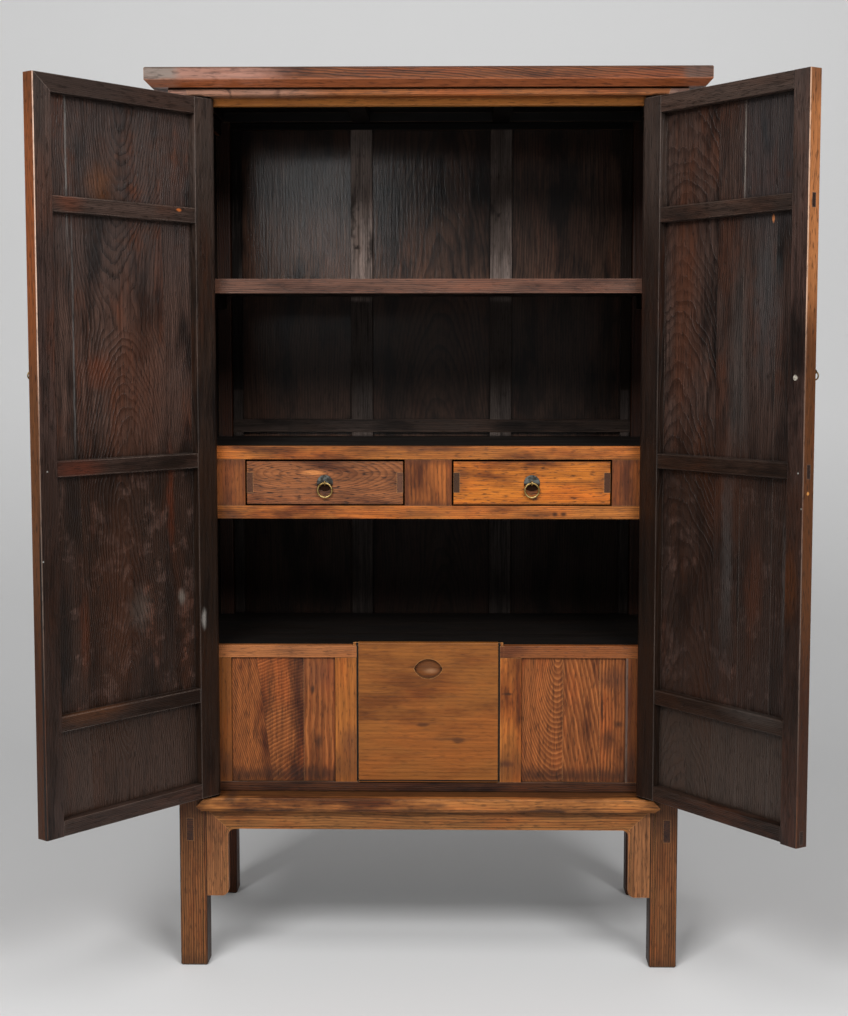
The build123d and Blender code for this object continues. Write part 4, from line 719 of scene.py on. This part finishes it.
def makeNailHeads():  # low domes of wrought nails, one on each point of a mesh
    tree = bpy.data.node_groups.new("nailHeads", "GeometryNodeTree")
    tree.interface.new_socket("Geometry", in_out="INPUT", socket_type="NodeSocketGeometry")
    for name, kind in (("Radius", "Float"), ("Dome", "Float"), ("Facing", "Vector"), ("Metal", "Material")):
        tree.interface.new_socket(name, in_out="INPUT", socket_type="NodeSocket" + kind)
    tree.interface.new_socket("Geometry", in_out="OUTPUT", socket_type="NodeSocketGeometry")
    given = tree.nodes.new("NodeGroupInput").outputs
    result = tree.nodes.new("NodeGroupOutput")
    head = add(tree, "GeometryNodeMeshUVSphere", None, {"Segments": 9, "Rings": 5, "Radius": 1.0})
    turn = add(tree, "FunctionNodeAlignRotationToVector", {"axis": "Z"}, {"Vector": given["Facing"]})
    worn = add(tree, "FunctionNodeRandomValue", {"data_type": "FLOAT"}, {2: 0.85, 3: 1.2, "Seed": 3})
    size = add(tree, "ShaderNodeMath", times, {0: given["Radius"], 1: worn.outputs[1]})
    scale = add(tree, "ShaderNodeCombineXYZ", None, {0: size, 1: size, 2: given["Dome"]})
    heads = add(tree, "GeometryNodeInstanceOnPoints", None,
                {"Points": given["Geometry"], "Instance": head, "Rotation": turn, "Scale": scale})
    heads = add(tree, "GeometryNodeRealizeInstances", None, {"Geometry": heads})
    heads = add(tree, "GeometryNodeSetMaterial", None, {"Geometry": heads, "Material": given["Metal"]})
    tree.links.new(heads.outputs[0], result.inputs[0])
    return tree


nailHeads = makeNailHeads()
innerFace = -0.2551  # where the nails sit on a closed door
nails = {  # each nail's x and height on the closed door, and its size
    "left": {"places": ((-0.0175, 1.064), (-0.004, 0.897)), "Radius": 0.0018, "Dome": 0.0007},
    "right": {"places": ((0.0135, 1.064), (0.004, 0.999)), "Radius": 0.0018, "Dome": 0.0007},
}
for side, look in nails.items():
    pivotX, pivotY, angle = hinges[side]
    opened = Matrix.Rotation(math.radians(-angle), 3, "Z")
    pivot = Vector((pivotX, pivotY, 0))
    points = [opened @ (Vector((x, innerFace, height)) - pivot) + pivot for x, height in look["places"]]
    seed = bpy.data.meshes.new(side + "NailPoints")
    seed.from_pydata(points, [], [])
    maker = bpy.data.objects.new(side + "NailPoints", seed)
    scene.collection.objects.link(maker)
    modifier = maker.modifiers.new("nails", "NODES")
    modifier.node_group = nailHeads
    values = {"Radius": look["Radius"], "Dome": look["Dome"], "Facing": tuple(opened @ Vector((0, 1, 0))),
              "Metal": nailIron}
    for socket in nailHeads.interface.items_tree:
        if socket.in_out == "INPUT" and socket.name in values:
            modifier[socket.identifier] = values[socket.name]
    mesh = bpy.data.meshes.new_from_object(maker.evaluated_get(bpy.context.evaluated_depsgraph_get()))
    maker.modifiers.clear()
    bpy.data.objects.remove(maker)
    heads = bpy.data.objects.new(side + "DoorNails", mesh)
    scene.collection.objects.link(heads)
    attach(heads, side + "_door")
print("metal finished")


studio = {"front": -7.0, "back": 3.4, "bend": 1.8, "steps": 24, "height": 6.5, "width": 9.0,
          "colour": "DEDEDE", "air": 0.10}


def makeSweep():  # floor that bends up into the backdrop
    profile = [(studio["front"], 0.0)]
    centre = studio["back"] - studio["bend"]
    for step in range(studio["steps"] + 1):
        angle = math.radians(90 * step / studio["steps"])
        profile.append((centre + studio["bend"] * math.sin(angle), studio["bend"] * (1 - math.cos(angle))))
    profile.append((studio["back"], studio["height"]))
    half = studio["width"]
    points = [(x, y, z) for y, z in profile for x in (-half, half)]
    faces = [(2 * i, 2 * i + 1, 2 * i + 3, 2 * i + 2) for i in range(len(profile) - 1)]
    mesh = bpy.data.meshes.new("sweep")
    mesh.from_pydata(points, [], faces)
    for face in mesh.polygons:
        face.use_smooth = True
    sweep = bpy.data.objects.new("sweep", mesh)
    scene.collection.objects.link(sweep)
    material, tree = emptyMaterial("paperSweep")
    paper = add(tree, "ShaderNodeBsdfPrincipled", None, {"Base Color": studio["colour"], "Roughness": 0.9})
    seen = add(tree, "ShaderNodeLightPath").outputs["Is Camera Ray"]
    behind = add(tree, "ShaderNodeNewGeometry").outputs["Backfacing"]
    hidden = add(tree, "ShaderNodeMath", times, {0: seen, 1: behind})
    clear = add(tree, "ShaderNodeBsdfTransparent")
    # the paper isn't seen from behind
    shown = add(tree, "ShaderNodeMixShader", None, {0: hidden, 1: paper, 2: clear})
    add(tree, "ShaderNodeOutputMaterial", None, {"Surface": shown})
    mesh.materials.append(material)


makeSweep()

lamps = {  # place, what it faces, width, height, watts
    "keyLamp": ((-1.6, -4.4, 3.9), (0.0, 0.0, 1.0), 2.0, 1.6, 165),
    "fillLamp": ((1.8, -4.4, 3.7), (0.0, 0.0, 1.0), 2.0, 1.6, 140),
    "stripLamp": ((-0.56, -3.9, 1.96), (-0.28, 0.2, 1.6), 0.26, 0.62, 3.6),
    "overheadLamp": ((0.0, -2.4, 4.8), (0.0, -1.4, 0.0), 3.0, 1.6, 54),
    "backdropLamp": ((0.0, 1.3, 3.4), (0.0, 3.4, 1.6), 7.0, 1.0, 21.5),
}
for name, (place, target, width, height, watts) in lamps.items():
    light = bpy.data.lights.new(name, "AREA")
    light.shape = "RECTANGLE"
    light.size, light.size_y, light.energy = width, height, watts
    lamp = bpy.data.objects.new(name, light)
    scene.collection.objects.link(lamp)
    lamp.location = place
    lamp.rotation_euler = (Vector(target) - Vector(place)).to_track_quat("-Z", "Y").to_euler()

world = bpy.data.worlds.new("studioAir")
scene.world = world
world.use_nodes = True
world.node_tree.nodes["Background"].inputs["Color"].default_value = linear("FFFFFF")
world.node_tree.nodes["Background"].inputs["Strength"].default_value = studio["air"]

viewpoint = {"place": (0.0535, -3.7534, 1.2754), "down": 5.052, "turn": 1.014, "lens": 60.40, "sensor": 36.0}
cameraData = bpy.data.cameras.new("viewpoint")
cameraData.sensor_fit = "VERTICAL"
cameraData.sensor_height = viewpoint["sensor"]
cameraData.lens = viewpoint["lens"]
camera = bpy.data.objects.new("viewpoint", cameraData)
scene.collection.objects.link(camera)
camera.location = viewpoint["place"]
camera.rotation_euler = (math.radians(90 - viewpoint["down"]), 0, math.radians(viewpoint["turn"]))
scene.camera = camera
scene.view_settings.view_transform = "Standard"
print("studio ready")
